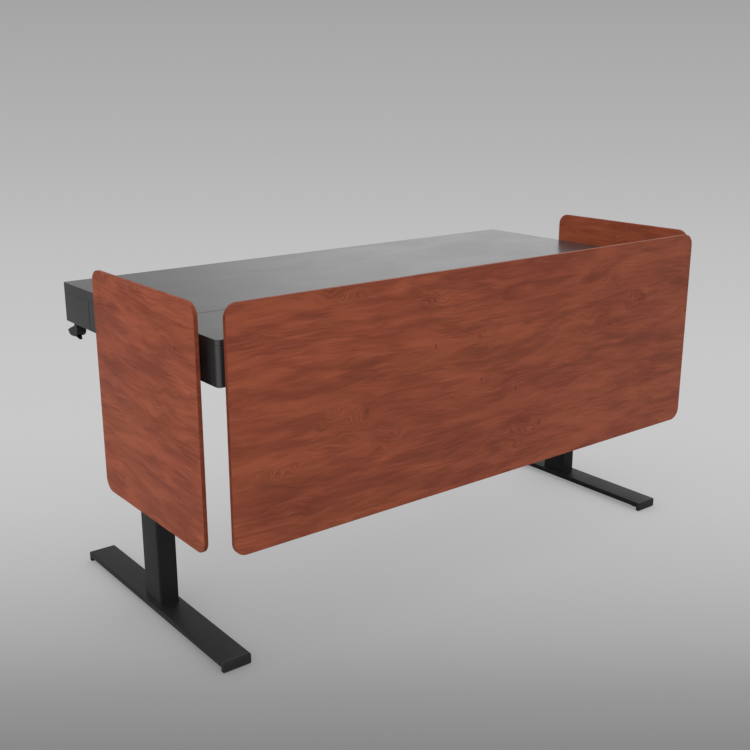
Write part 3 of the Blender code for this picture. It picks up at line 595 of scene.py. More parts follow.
# ================================================================= mesh shapes
# a flat outline (a, b) and its height, for shapes along Z, Y or X
AXES = {
    "Z": lambda a, b, height: (a, b, height),
    "Y": lambda a, b, height: (a, height, b),
    "X": lambda a, b, height: (height, a, b),
}


def turn_to(axis):
    """The rotation that points +Z along axis."""
    return Vector((0, 0, 1)).rotation_difference(Vector(axis).normalized()).to_matrix()


def ring(shape, outline, height, axis="Z"):
    return [shape.verts.new(AXES[axis](a, b, height)) for a, b in outline]


def skin(shape, rows, material=0, closed=False):
    """Joins rows of vertices with faces; a row of one vertex is a pole."""
    for near, far in zip(rows, rows[1:] + rows[:1] if closed else rows[1:]):
        count = max(len(near), len(far))
        for k in range(count):
            after = (k + 1) % count
            if len(near) == 1:
                corners = (near[0], far[after], far[k])
            elif len(far) == 1:
                corners = (near[k], near[after], far[0])
            else:
                corners = (near[k], near[after], far[after], far[k])
            shape.faces.new(corners).material_index = material


def loft(shape, rows, side=0, low=0, high=0):
    """Skinned rows, capped at both ends."""
    skin(shape, rows, side)
    shape.faces.new(rows[0][::-1]).material_index = low
    shape.faces.new(rows[-1]).material_index = high


def prism(shape, outline, start, end, axis="Z", side=0, caps=0):
    rows = [ring(shape, outline, height, axis) for height in sorted((start, end))]
    loft(shape, rows, side, caps, caps)


def board(shape, outline_at, profile, axis="Z", low=2):
    """A board whose edge follows profile, (inset, height) pairs up its side."""
    rows = [ring(shape, outline_at(inset), height, axis) for inset, height in profile]
    loft(shape, rows, side=1, low=low)


def tube(shape, outer, inner, start, end, axis="Z"):
    """A hollow prism from two outlines with the same number of points."""
    rows = [ring(shape, outline, height, axis)
            for outline, height in ((outer, start), (outer, end), (inner, end), (inner, start))]
    skin(shape, rows, closed=True)


def sleeve(shape, stations, centre):
    """A closed hollow section from stations (width, depth, corner radius, z)."""
    rows = [ring(shape, rect(width, depth, radius, 10, centre), z)
            for width, depth, radius, z in stations]
    skin(shape, rows, closed=True)


def block(shape, corner, opposite, material=0):
    low = [min(pair) for pair in zip(corner, opposite)]
    high = [max(pair) for pair in zip(corner, opposite)]
    verts = [shape.verts.new((x, y, z)) for z in (low[2], high[2])
             for y in (low[1], high[1]) for x in (low[0], high[0])]
    for quad in ((0, 2, 3, 1), (4, 5, 7, 6), (0, 1, 5, 4), (2, 6, 7, 3), (0, 4, 6, 2), (1, 3, 7, 5)):
        shape.faces.new([verts[i] for i in quad]).material_index = material


def lathe(shape, profile, centre, axis=(0, 0, 1), steps=32, material=0):
    """Turns a (radius, height) profile round an axis through centre."""
    turn = turn_to(axis)
    centre = Vector(centre)
    rows = []
    for radius, height in profile:
        if radius < 1e-7:
            rows.append([shape.verts.new(centre + turn @ Vector((0, 0, height)))])
        else:
            rows.append([shape.verts.new(centre + turn @ Vector((a, b, height)))
                         for a, b in circle(radius, steps, (0.0, 0.0))])
    skin(shape, rows, material)


def thread(shape, radius, depth, pitch, starts, bottom, top, centre, steps, per_pitch,
           taper, material=0, bore=None):
    """An upright screw thread with its crest at radius; solid, or a tube if bored."""
    rows = []
    count = max(2, int(round((top - bottom) / pitch * per_pitch)))
    for i in range(count + 1):
        z = bottom + (top - bottom) * i / count
        fade = min(1.0, (z - bottom) / taper, (top - z) / taper)
        row = []
        for k in range(steps):
            turn = 2 * math.pi * k / steps
            phase = (z / pitch - starts * k / steps) % 1.0
            tooth = 1.0 - min(1.0, max(0.0, (abs(phase - 0.5) * 2 - 0.18) / 0.64))
            reach = radius - depth * (1.0 - tooth * fade)
            row.append(shape.verts.new((centre[0] + reach * math.cos(turn),
                                        centre[1] + reach * math.sin(turn), z)))
        rows.append(row)
    if bore:
        inner = [ring(shape, circle(bore, steps, centre), z) for z in (bottom, top)]
        skin(shape, rows + inner[::-1], material, closed=True)
    else:
        loft(shape, rows, material, material, material)


def screw_head(shape, place, axis, radius, height, key, style):
    """A button head standing on place along axis, with a hex or cross recess."""
    turn = turn_to(axis)
    place = Vector(place)
    count = 24

    def hexagon(k):
        angle = (2 * math.pi * k / count) % (math.pi / 3) - math.pi / 6
        return key * math.cos(math.pi / 6) / math.cos(angle)

    def cross(k):
        step = k % 6
        return key * (1.15 if step == 0 else 0.62 if step in (1, 5) else 0.36)

    recess = hexagon if style == "hex" else cross
    # (reach at step k, height) up the dome and down into the recess
    dome = ((0.93, 0.0), (1.0, 0.14), (0.97, 0.42), (0.83, 0.74), (0.62, 0.95))
    rows = [(lambda k, share=share: radius * share, height * rise) for share, rise in dome]
    rows += [(lambda k: recess(k) + radius * 0.035, height), (recess, height * 0.93),
             (lambda k: recess(k) * 0.97, height * 0.40)]
    loft(shape, [[shape.verts.new(place + turn @ Vector((
        reach(k) * math.cos(2 * math.pi * k / count),
        reach(k) * math.sin(2 * math.pi * k / count), z))) for k in range(count)]
        for reach, z in rows])


def screws(name, spots, radius, height, key, style="hex", material="zinc", body="desk_top",
           washer=0.0):
    """One mesh of identical screws: spots are (place, axis), washer is a radius."""
    shape = bmesh.new()
    thick = 0.0008
    for place, axis in spots:
        axis = Vector(axis).normalized()
        lift = 0.0
        if washer:
            lathe(shape, [(0.0, 0.0), (washer, 0.0), (washer, 0.0006), (washer * 0.96, thick),
                          (0.0, thick)], place, axis, 28)
            lift = thick
        screw_head(shape, Vector(place) + axis * lift, axis, radius, height, key, style)
    finish(name, shape, material, body, sharp=38)


def curve_shape(name, paths, cyclic=False, **settings):
    """The bmesh of a curve through the paths, with the curve's settings."""
    curve = bpy.data.curves.new(name, "CURVE")
    for key, value in settings.items():
        setattr(curve, key, value)
    for points in paths:
        spline = curve.splines.new("POLY")
        spline.points.add(len(points) - 1)
        for point, place in zip(spline.points, points):
            point.co = (*place, 1.0)
        spline.use_cyclic_u = cyclic
    source = bpy.data.objects.new(name + "_curve", curve)
    bpy.context.scene.collection.objects.link(source)
    mesh = evaluated_mesh(source)
    bpy.data.objects.remove(source)
    shape = bmesh.new()
    shape.from_mesh(mesh)
    bmesh.ops.remove_doubles(shape, verts=shape.verts, dist=1e-6)
    return shape


def evaluated_mesh(obj):
    bpy.context.view_layer.update()
    graph = bpy.context.evaluated_depsgraph_get()
    return bpy.data.meshes.new_from_object(obj.evaluated_get(graph))


def cable(name, points, radius, node):
    """A round cable through the points, with its bends rounded."""
    points = [Vector(point) for point in points]
    path = [points[0]]
    for before, corner, after in zip(points, points[1:], points[2:]):
        bend = min(0.022, (before - corner).length * 0.48, (after - corner).length * 0.48)
        start = corner + (before - corner).normalized() * bend
        end = corner + (after - corner).normalized() * bend
        for k in range(9):
            part = k / 8
            path.append(start * (1 - part) ** 2 + corner * 2 * part * (1 - part) + end * part ** 2)
    path.append(points[-1])
    shape = curve_shape(name, [path], dimensions="3D", bevel_depth=radius,
                        bevel_resolution=5, use_fill_caps=True)
    finish(name, shape, "cable", replaces=node, sharp=60)


def split_case(name, node, material, split, radius, core, rounding):
    """Two half shells on a slightly smaller core (shrink, radius), so the joint shows."""
    box = node_box(node)
    width, depth = box.size.x, box.size.y
    centre = (box.mid.x, box.mid.y)
    shrink, core_radius = core
    shell = rect(width, depth, radius, 8, centre)
    shape = bmesh.new()
    prism(shape, shell, box.low.z, split - 0.0004)
    prism(shape, rect(width - shrink, depth - shrink, core_radius, 8, centre),
          split - 0.0010, split + 0.0010)
    prism(shape, shell, split + 0.0004, box.high.z)
    round_edges(finish(name, shape, material, replaces=node), rounding, 3)


# ============================================================= main dimensions
worktop = node_box("worktop")
lid = node_box("rear_lid")
foot_right = node_box("foot_right")
HALF_WIDTH = worktop.high.x
TOP_Z, BOARD_Z = worktop.high.z, worktop.low.z
FRONT_Y, SEAM_Y, REAR_Y = worktop.low.y, worktop.high.y, lid.high.y
FRONT_RADIUS, REAR_RADIUS = 0.004, 0.010        # the box's upright corners
LEG_X, LEG_Y = foot_right.mid.x, foot_right.mid.y
SKIRT = 0.012                                   # skirt board thickness


# ====================================================================== panels
def panel(node, along, across, faces, band, radius=0.033):
    """A laminated board with round corners and a 1 mm edge radius.

    along is the axis of its length, across that of its thickness.
    """
    box = node_box(node)
    length, centre = getattr(box.size, along), (getattr(box.mid, along), box.mid.z)
    shape = bmesh.new()
    board(shape, lambda inset: rect(length - 2 * inset, box.size.z - 2 * inset,
                                    radius - inset, 14, centre),
          edge_profile(getattr(box.low, across), getattr(box.high, across), 0.0010, 0.0010),
          across.upper(), low=0)
    weigh(finish(node + "_board", shape, faces + " " + band, replaces=node))


panel("back_panel", "x", "y", "cherry_x", "cherry_band_x")
# the right side panel takes the brightened cherry: painted light
panel("side_panel_right", "y", "x", "cherry_y_right", "cherry_band_y")
panel("side_panel_left", "y", "x", "cherry_y_left", "cherry_band_y")


# ============================================================= worktop and lid
def front_corners(inset, radius):
    y = FRONT_Y + inset + radius
    return (arc(-HALF_WIDTH + inset + radius, y, radius, 180, 270)
            + arc(HALF_WIDTH - inset - radius, y, radius, 270, 360))


def rear_corners(inset, radius):
    y = REAR_Y - inset - radius
    return (arc(HALF_WIDTH - inset - radius, y, radius, 0, 90)
            + arc(-HALF_WIDTH + inset + radius, y, radius, 90, 180))


def worktop_outline(inset):
    radius = FRONT_RADIUS - min(inset, FRONT_RADIUS * 0.9)
    return ([(HALF_WIDTH - inset, SEAM_Y - inset), (-HALF_WIDTH + inset, SEAM_Y - inset)]
            + front_corners(inset, radius))


def lid_outline(inset):
    y = lid.low.y + inset
    return ([(-HALF_WIDTH + inset, y), (HALF_WIDTH - inset, y)]
            + rear_corners(inset, REAR_RADIUS - inset))


shape = bmesh.new()
board(shape, worktop_outline, edge_profile(BOARD_Z, TOP_Z, 0.0003, 0.0010))
weigh(finish("worktop_board", shape, "top skirt backing", replaces="worktop"))
shape = bmesh.new()
board(shape, lid_outline, edge_profile(lid.low.z, lid.high.z, 0.0003, 0.0010))
lid_board = weigh(finish("rear_lid_board", shape, "lid skirt backing skirt_corner", "lid",
                         "rear_lid"))


def paint_corner_highlight(mesh, slot):
    """The rear corners, where the laminate is bent round, get their own slot, glossier and lighter;
    the lighter colour is a painted highlight.
    """
    for face in mesh.polygons:
        if (abs(face.normal.z) < 0.05 and abs(face.center.x) > HALF_WIDTH - REAR_RADIUS
                and face.center.y > REAR_Y - REAR_RADIUS
                and face.normal.y > 0.06 and face.normal.x * face.center.x > 0.05):
            face.material_index = slot


# ====================================================================== skirts
INSIDE = HALF_WIDTH - SKIRT


def skirt_front():
    box = node_box("skirt_front")
    y, inner_y = box.high.y, FRONT_Y + SKIRT
    outline = ([(-HALF_WIDTH, y)] + front_corners(0.0, FRONT_RADIUS)
               + [(HALF_WIDTH, y), (INSIDE, y), (INSIDE, inner_y), (-INSIDE, inner_y),
                  (-INSIDE, y)])
    shape = bmesh.new()
    prism(shape, outline, box.low.z, box.high.z, caps=1)
    obj = finish("skirt_front_board", shape, "skirt skirt_band", replaces="skirt_front")
    round_edges(obj, 0.0004, material=1)


def cut_step(obj):
    """Cuts the rear skirt down where the worktop lies over it."""
    gap = 0.0003
    shape = bmesh.new()
    block(shape, (-HALF_WIDTH - 0.1, -0.6, BOARD_Z - gap),
          (HALF_WIDTH + 0.1, SEAM_Y + gap, TOP_Z + 0.1))
    mesh = bpy.data.meshes.new("worktop_step")
    bmesh.ops.recalc_face_normals(shape, faces=shape.faces)
    shape.to_mesh(mesh)
    shape.free()
    step = bpy.data.objects.new("worktop_step", mesh)
    bpy.context.scene.collection.objects.link(step)
    cutter = obj.modifiers.new("step", "BOOLEAN")
    cutter.operation = "DIFFERENCE"
    cutter.solver = "EXACT"
    cutter.object = step
    stepped = evaluated_mesh(obj)
    obj.modifiers.remove(cutter)
    bpy.data.objects.remove(step)
    obj.data = stepped
    stepped.shade_smooth()


def skirt_rear():
    box = node_box("skirt_rear")
    y, inner_y = box.low.y, REAR_Y - SKIRT
    outline = ([(HALF_WIDTH, y)] + rear_corners(0.0, REAR_RADIUS)
               + [(-HALF_WIDTH, y), (-INSIDE, y), (-INSIDE, inner_y), (INSIDE, inner_y),
                  (INSIDE, y)])
    shape = bmesh.new()
    prism(shape, outline, box.low.z, box.high.z, caps=1)
    obj = finish("skirt_rear_board", shape, "skirt skirt_band skirt_corner",
                 replaces="skirt_rear")
    cut_step(obj)
    # painted highlight: the rear corner arcs of the skirt and the lid take the lighter corner
    # material
    paint_corner_highlight(obj.data, 2)
    paint_corner_highlight(lid_board.data, 3)
    round_edges(obj, 0.0004, material=1)


skirt_front()
skirt_rear()


# ================================================================== base: feet
def weld_bead(side, x, z):
    """A rippled quarter-round bead round the foot of the column."""
    column = node_box("column_outer_" + side)
    path = rect(column.size.x + 0.0004, column.size.y + 0.0004, 0.0047, 10, (x, LEG_Y))
    dense = []
    for (from_x, from_y), (to_x, to_y) in zip(path, path[1:] + path[:1]):
        count = max(1, int(math.hypot(to_x - from_x, to_y - from_y) / 0.0011))
        dense += [(from_x + (to_x - from_x) * k / count, from_y + (to_y - from_y) * k / count)
                  for k in range(count)]
    shape = bmesh.new()
    rows = []
    for i, (spot_x, spot_y) in enumerate(dense):
        before, after = dense[i - 1], dense[(i + 1) % len(dense)]
        run = Vector((after[0] - before[0], after[1] - before[1], 0)).normalized()
        out = Vector((run.y, -run.x, 0))
        spot = Vector((spot_x, spot_y, z - 0.0002))
        size = 0.0019 + 0.00018 * math.sin(i * 1.9) + 0.00010 * math.sin(i * 0.37 + 1)
        row = []
        for k in range(9):
            turn = math.pi / 2 * (k / 8)
            row.append(shape.verts.new(spot + out * (size * math.cos(turn) * 1.1)
                                       + Vector((0, 0, size * math.sin(turn) * 1.1))))
        row.append(shape.verts.new(spot - out * 0.0006 + Vector((0, 0, size * 0.9))))
        row.append(shape.verts.new(spot - out * 0.0006))
        rows.append(row)
    for near, far in zip(rows, rows[1:] + rows[:1]):
        for k in range(len(near)):
            after = (k + 1) % len(near)
            shape.faces.new((near[k], far[k], far[after], near[after]))
    finish("weld_bead_" + side, shape, "powder", "base", sharp=60)


# end cap stations: distance from the bar end, inset, corner radius; the last lies
# at the outer end, so its distance is None
CAP_STATIONS = [
    (0.0, 0.0004, 0.0030), (0.0006, 0.0, 0.0034), (0.0078, 0.0, 0.0034),
    (0.0094, 0.0005, 0.0036), (0.0104, 0.0014, 0.0040), (None, 0.0030, 0.0044)]


def foot_cap(side, end, away, x):
    """A moulded end cap, deeper than the bar; away is +1 or -1 along Y."""
    node = "foot_cap_%s_%s" % (end, side)
    box = node_box(node)
    inner_y, outer_y = (box.high.y, box.low.y) if away < 0 else (box.low.y, box.high.y)
    shape = bmesh.new()
    loft(shape, [ring(shape, rect(box.size.x - 2 * inset, box.size.z - 2 * inset, radius, 6,
                                  (x, box.mid.z)),
                      outer_y if distance is None else inner_y + away * distance, "Y")
                 for distance, inset, radius in CAP_STATIONS])
    finish("foot_end_cap_%s_%s" % (end, side), shape, "plastic", "base", node, sharp=50)


def foot(side, x):
    box = node_box("foot_" + side)
    width, height = box.size.x, box.size.z
    centre = (x, box.mid.z)
    wall = 0.0025
    shape = bmesh.new()
    tube(shape, rect(width, height, 0.0032, 5, centre),
         rect(width - 2 * wall, height - 2 * wall, 0.0009, 5, centre), box.low.y, box.high.y, "Y")
    finish("foot_bar_" + side, shape, "powder", "base", "foot_" + side, sharp=40)
    weld_bead(side, x, box.high.z)
    for end, away in ENDS:
        foot_cap(side, end, away, x)
    # four bolts under the bar, below the column
    spots = [((x + across, LEG_Y + along, box.low.z), (0, 0, -1))
             for across in (-0.014, 0.014) for along in (-0.026, 0.026)]
    screws("foot_bolts_" + side, spots, radius=0.0058, height=0.0028, key=0.0030,
           material="screw_black", body="base")


for side, sign in SIDES:
    foot(side, sign * LEG_X)


def grip_ribs(shape, centre, radius, count=18):
    """Small tapered ribs round the rim of a glide."""
    half, depth = 0.0011, 0.0007
    for k in range(count):
        turn = 2 * math.pi * k / count
        out = Vector((math.cos(turn), math.sin(turn), 0))
        spot = Vector((centre[0] + out.x * (radius - depth), centre[1] + out.y * (radius - depth),
                       0.0030))
        run = Vector((-math.sin(turn), math.cos(turn), 0)) * half
        up = Vector((0, 0, half))
        out *= depth
        quad = [spot - run - up, spot + run - up, spot + run + up, spot - run + up]
        inner = [shape.verts.new(corner - out) for corner in quad]
        outer = [shape.verts.new(corner + out * 0.9 + (spot - corner) * 0.25) for corner in quad]
        loft(shape, [inner, outer])


def glide(side, end):
    """A levelling glide: rubber sole, moulded dome, hexagon flange, threaded stem."""
    node = "levelling_glide_%s_%s" % (end, side)
    box = node_box(node)
    centre = (box.mid.x, box.mid.y, 0.0)
    radius = box.size.x / 2 - 0.0001
    shape = bmesh.new()
    sole_top = 0.0019
    lathe(shape, [(0.0, 0.0), (radius - 0.0026, 0.0), (radius - 0.0014, 0.0003),
                  (radius - 0.0009, 0.0010), (radius - 0.0008, sole_top), (0.0, sole_top)],
          centre, steps=48, material=1)
    lathe(shape, [(0.0, 0.0018), (radius - 0.0004, 0.0018), (radius, 0.0022), (radius, 0.0034),
                  (radius - 0.0006, 0.0043), (radius * 0.80, 0.0056), (radius * 0.60, 0.0064),
                  (0.0, 0.0066)], centre, steps=48)
    grip_ribs(shape, centre, radius)
    prism(shape, circle(0.0076, 6, centre, math.radians(30)), 0.0064, 0.0084, side=2, caps=2)
    thread(shape, radius=0.0038, depth=0.00055, pitch=0.00125, starts=1, bottom=0.0082,
           top=box.high.z - 0.0002, centre=centre, steps=24, per_pitch=6, taper=0.0006,
           material=2)
    finish("glide_%s_%s_foot" % (end, side), shape, "plastic rubber zinc",
           "glide_%s_%s" % (end, side), node, sharp=40)


for side, sign in SIDES:
    for end, away in ENDS:
        glide(side, end)


# ===================================================================== columns
MIDDLE_TUBE = (0.0460, 0.0780)          # outer width and depth of the tubes
INNER_TUBE = (0.0394, 0.0714)
TUBE_RADIUS = 0.0045
SCREW_PITCH, SCREW_STARTS = 0.0050, 4


def column_tube(stage, side, body, wall):
    node = "column_%s_%s" % (stage, side)
    box = node_box(node)
    low, high, chamfer = box.low.z, box.high.z, 0.0004
    insets = ((chamfer, low), (0.0, low + chamfer), (0.0, high - chamfer), (chamfer, high),
              (wall - chamfer, high), (wall, high - chamfer), (wall, low + chamfer),
              (wall - chamfer, low))
    shape = bmesh.new()
    sleeve(shape, [(box.size.x - 2 * inset, box.size.y - 2 * inset, TUBE_RADIUS - inset, z)
                   for inset, z in insets], (box.mid.x, box.mid.y))
    finish("column_%s_tube_%s" % (stage, side), shape, "powder", body, node, sharp=32)


def collar(stage, side, body, inner_tube):
    """A glide collar: a flat lip with a soft outer edge and a raised wiper."""
    node = "column_%s_collar_%s" % (stage, side)
    box = node_box(node)
    width, depth, height = box.size
    hole_w, hole_d = (size + 0.0006 for size in inner_tube)
    low, high = box.low.z, box.high.z
    stations = [
        (width, depth, 0.0045, low),
        (width, depth, 0.0045, low + height * 0.50),
        (width - 0.0006, depth - 0.0006, 0.0042, low + height * 0.68),
        (width - 0.0020, depth - 0.0020, 0.0037, low + height * 0.78),
        (hole_w + 0.0026, hole_d + 0.0026, 0.0058, low + height * 0.80),
        (hole_w + 0.0022, hole_d + 0.0022, 0.0056, high - 0.0001),
        (hole_w + 0.0006, hole_d + 0.0006, 0.0048, high),
        (hole_w, hole_d, 0.0045, high - 0.0004),
        (hole_w, hole_d, 0.0045, low)]
    shape = bmesh.new()
    sleeve(shape, stations, (box.mid.x, box.mid.y))
    finish("column_%s_lip_%s" % (stage, side), shape, "plastic", body, node, sharp=38)


def glide_plugs(side, x):
    """Plugs on the narrow faces of the outer tube."""
    box = node_box("column_outer_" + side)
    shape = bmesh.new()
    for drop in (0.022, 0.058):
        for out, y in ((-1, box.low.y), (1, box.high.y)):
            lathe(shape, [(0.0, -0.0008), (0.0042, -0.0008), (0.0042, 0.0), (0.0036, 0.00022),
                          (0.0, 0.0002)], (x, y, box.high.z - drop), (0, out, 0), 28)
    finish("glide_plugs_outer_" + side, shape, "plastic", "base", sharp=40)


def lift_spindle(side, x):
    node = "lift_spindle_" + side
    box = node_box(node)
    top = box.high.z
    shape = bmesh.new()
    thread(shape, radius=0.0060, depth=0.0009, pitch=SCREW_PITCH, starts=SCREW_STARTS,
           bottom=box.low.z, top=top - 0.040, centre=(x, LEG_Y), steps=20, per_pitch=5,
           taper=0.002)
    lathe(shape, [(0.0, top - 0.041), (0.0052, top - 0.041), (0.0058, top - 0.0395),
                  (0.0058, top - 0.012), (0.0046, top - 0.012), (0.0046, top - 0.0006),
                  (0.0040, top), (0.0, top)], (x, LEG_Y, 0.0), steps=24)
    finish("lift_spindle_screw_" + side, shape, "steel_bright", "spindle_" + side, node, sharp=50)


def hollow_screw(side, x):
    node = "hollow_screw_" + side
    box = node_box(node)
    shape = bmesh.new()
    thread(shape, radius=0.0100, depth=0.0010, pitch=SCREW_PITCH, starts=SCREW_STARTS,
           bottom=box.low.z, top=box.high.z, centre=(x, LEG_Y), steps=24, per_pitch=4,
           taper=0.002, bore=0.0072)
    finish("hollow_screw_tube_" + side, shape, "steel_bright", "middle_stage_" + side, node,
           sharp=50)


def nut_sleeve(side, x):
    """A plain sleeve with a shallow groove near its top."""
    node = "lift_nut_tube_" + side
    box = node_box(node)
    low, top = box.low.z, box.high.z
    bore, radius, groove = 0.0112, 0.0140, 0.0134
    shape = bmesh.new()
    lathe(shape, [(bore, low), (0.0136, low), (radius, low + 0.0006), (radius, top - 0.030),
                  (groove, top - 0.029), (groove, top - 0.022), (radius, top - 0.021),
                  (radius, top - 0.0008), (0.0132, top), (bore, top), (bore, low)],
          (x, LEG_Y, 0.0), steps=36)
    bmesh.ops.remove_doubles(shape, verts=shape.verts, dist=1e-6)
    finish("lift_nut_sleeve_" + side, shape, "zinc", "base", node, sharp=40)


for side, sign in SIDES:
    x = sign * LEG_X
    column_tube("outer", side, "base", wall=0.0020)
    column_tube("middle", side, "middle_stage_" + side, wall=0.0018)
    column_tube("inner", side, "desk_top", wall=0.0018)
    collar("outer", side, "base", MIDDLE_TUBE)
    collar("middle", side, "middle_stage_" + side, INNER_TUBE)
    glide_plugs(side, x)
    lift_spindle(side, x)
    hollow_screw(side, x)
    nut_sleeve(side, x)


# ================================================================= drive heads
SUPPORT_Y = -0.095                              # middle of the support's screw row
SUPPORT_HOLES = (-0.205, -0.165, 0.165, 0.205)


def gearbox(side, sign):
    node = "gearbox_" + side
    box = node_box(node)
    mid, low, high = box.mid, box.low.z, box.high.z
    split_case("gearbox_case_" + side, node, "cast", mid.z, radius=0.0065,
               core=(0.0016, 0.0060), rounding=0.0010)
    shape = bmesh.new()
    face = box.high.x if sign > 0 else box.low.x
    for k in range(7):                          # cooling ribs on the outboard face
        y = mid.y - 0.027 + k * 0.009
        block(shape, (face, y - 0.0011, low + 0.005),
              (face + sign * 0.0016, y + 0.0011, high - 0.005))
    bosses = [(mid.x + right * (box.size.x / 2 - 0.0052),
               mid.y + rear * (box.size.y / 2 + 0.0012))
              for right in (-1, 1) for rear in (-1, 1)]
    for x, y in bosses:                         # bolt bosses down the ends
        lathe(shape, [(0.0, low + 0.002), (0.0040, low + 0.002), (0.0044, low + 0.0026),
                      (0.0044, high - 0.0026), (0.0040, high - 0.002), (0.0, high - 0.002)],
              (x, y, 0.0), steps=24)
    round_edges(finish("gearbox_ribs_" + side, shape, "cast"), 0.0004)
    screws("gearbox_bolts_" + side, [((x, y, low + 0.002), (0, 0, -1)) for x, y in bosses],
           radius=0.0034, height=0.0020, key=0.0018)


def motor(side, sign):
    """A drawn can with a rolled seam, end bell, through-bolts and a boss."""
    node = "motor_" + side
    box = node_box(node)
    radius, length = box.size.z / 2, box.size.x
    near, far = (box.high.x, box.low.x) if sign > 0 else (box.low.x, box.high.x)
    away = (-sign, 0, 0)
    centre = (near, box.mid.y, box.mid.z)
    neck, can, seam = radius - 0.0022, radius - 0.0002, radius - 0.0010
    shape = bmesh.new()
    lathe(shape, [(0.0, 0.0), (radius - 0.0030, 0.0), (neck, 0.0006), (neck, 0.0070),
                  (radius - 0.0008, 0.0082), (can, 0.0096), (can, length - 0.030),
                  (seam, length - 0.0294), (seam, length - 0.0284), (can, length - 0.0278),
                  (can, length - 0.0075), (seam, length - 0.0045),
                  (radius - 0.0032, length - 0.0026), (radius - 0.0060, length - 0.0020),
                  (0.0105, length - 0.0020), (0.0100, length - 0.0004), (0.0092, length),
                  (0.0, length)], centre, away, 64)
    finish("motor_can_" + side, shape, "powder_motor", replaces=node, sharp=34)
    rim = radius - 0.0001
    shape = bmesh.new()
    lathe(shape, [(seam, 0.0005), (rim, 0.0010), (rim, 0.0060), (seam, 0.0066), (neck, 0.0066),
                  (neck, 0.0005), (seam, 0.0005)], centre, away, 64)
    bmesh.ops.remove_doubles(shape, verts=shape.verts, dist=1e-6)
    finish("motor_flange_ring_" + side, shape, "zinc_x", sharp=34)
    bolts = circle(radius - 0.0085, 4, centre[1:], math.radians(45))
    screws("motor_end_screws_" + side, [((far + sign * 0.0020, y, z), away) for y, z in bolts],
           radius=0.0024, height=0.0015, key=0.0014, style="cross")


def top_support(side, sign):
    node = "top_support_" + side
    keep(node, "powder", 0.0005, angle=35.0)
    box = node_box(node)
    spots = [((box.mid.x + sign * 0.010, SUPPORT_Y + hole, box.low.z + 0.0002), (0, 0, -1))
             for hole in SUPPORT_HOLES]
    screws("support_screws_" + side, spots, washer=0.0070, radius=0.0052, height=0.0026,
           key=0.0026, style="cross")


for side, sign in SIDES:
    gearbox(side, sign)
    motor(side, sign)
    top_support(side, sign)


def cross_rail(end):
    """A square tube with end plugs, and bolts from below."""
    node = "cross_rail_" + end
    box = node_box(node)
    depth, height = box.size.y, box.size.z
    centre = (box.mid.y, box.mid.z)
    wall = 0.0015
    shape = bmesh.new()
    tube(shape, rect(depth, height, 0.0026, 5, centre),
         rect(depth - 2 * wall, height - 2 * wall, 0.0011, 5, centre),
         box.low.x, box.high.x, "X")
    finish("rail_tube_" + end, shape, "powder", replaces=node, sharp=40)
    shape = bmesh.new()
    for sign, x in ((-1, box.low.x), (1, box.high.x)):
        prism(shape, rect(depth - 0.0032, height - 0.0032, 0.0010, 4, centre),
              x - sign * 0.006, x + sign * 0.0012, "X")
    round_edges(finish("rail_plugs_" + end, shape, "plastic"), 0.0005)
    spots = [((x, box.mid.y, box.low.z), (0, 0, -1))
             for x in (-0.712, -0.696, 0.712, 0.696, -0.300, 0.300)]
    screws("rail_bolts_" + end, spots, washer=0.0075, radius=0.0056, height=0.0030, key=0.0027)


for end, away in ENDS:
    cross_rail(end)


# ================================================================ cable trough
def cable_trough():
    box = node_box("cable_trough")
    low, high = box.low, box.high
    sheet = 0.0020
    pitch = 0.0825                              # of the slots, staggered row by row
    slots = []
    for row, y in enumerate((0.186, 0.214, 0.318, 0.346)):
        for k in range(17):
            x = -0.66 + k * pitch + (0.0 if row % 2 == 0 else pitch / 2)
            if x <= 0.70:
                slots.append(rect(0.046, 0.0060, 0.0029, 5, (x, y))[::-1])
    outer = rect(box.size.x, box.size.y, 0.0005, 1, (0.0, box.mid.y))
    name = "cable_trough_floor"
    shape = curve_shape(name, [[(x, y, 0.0) for x, y in loop] for loop in [outer] + slots],
                        cyclic=True, dimensions="2D", fill_mode="BOTH", extrude=sheet / 2)
    shape.transform(Matrix.Translation((0.0, 0.0, low.z + sheet / 2)))
    finish(name, shape, "powder_tray", replaces="cable_trough", sharp=35)
    shape = bmesh.new()
    for near_y, far_y in ((low.y, low.y + sheet), (high.y - sheet, high.y)):
        block(shape, (low.x, near_y, low.z + sheet), (high.x, far_y, high.z))
    round_edges(finish("cable_trough_walls", shape, "powder_tray"), 0.0007, 3)
    spots = [((x, high.y, high.z - 0.010), (0, 1, 0)) for x in (-0.68, -0.34, 0.0, 0.34, 0.68)]
    screws("cable_trough_screws", spots, radius=0.0040, height=0.0020, key=0.0020, style="cross")


cable_trough()

# ================================================================= power strip
strip = node_box("power_strip")
STRIP_Y = strip.mid.y
STRIP_TOP = strip.high.z - 0.0016               # the face that holds the outlets
OUTLET_X = (-0.196, -0.139, -0.082, -0.025, 0.032)
SWITCH_X = 0.178


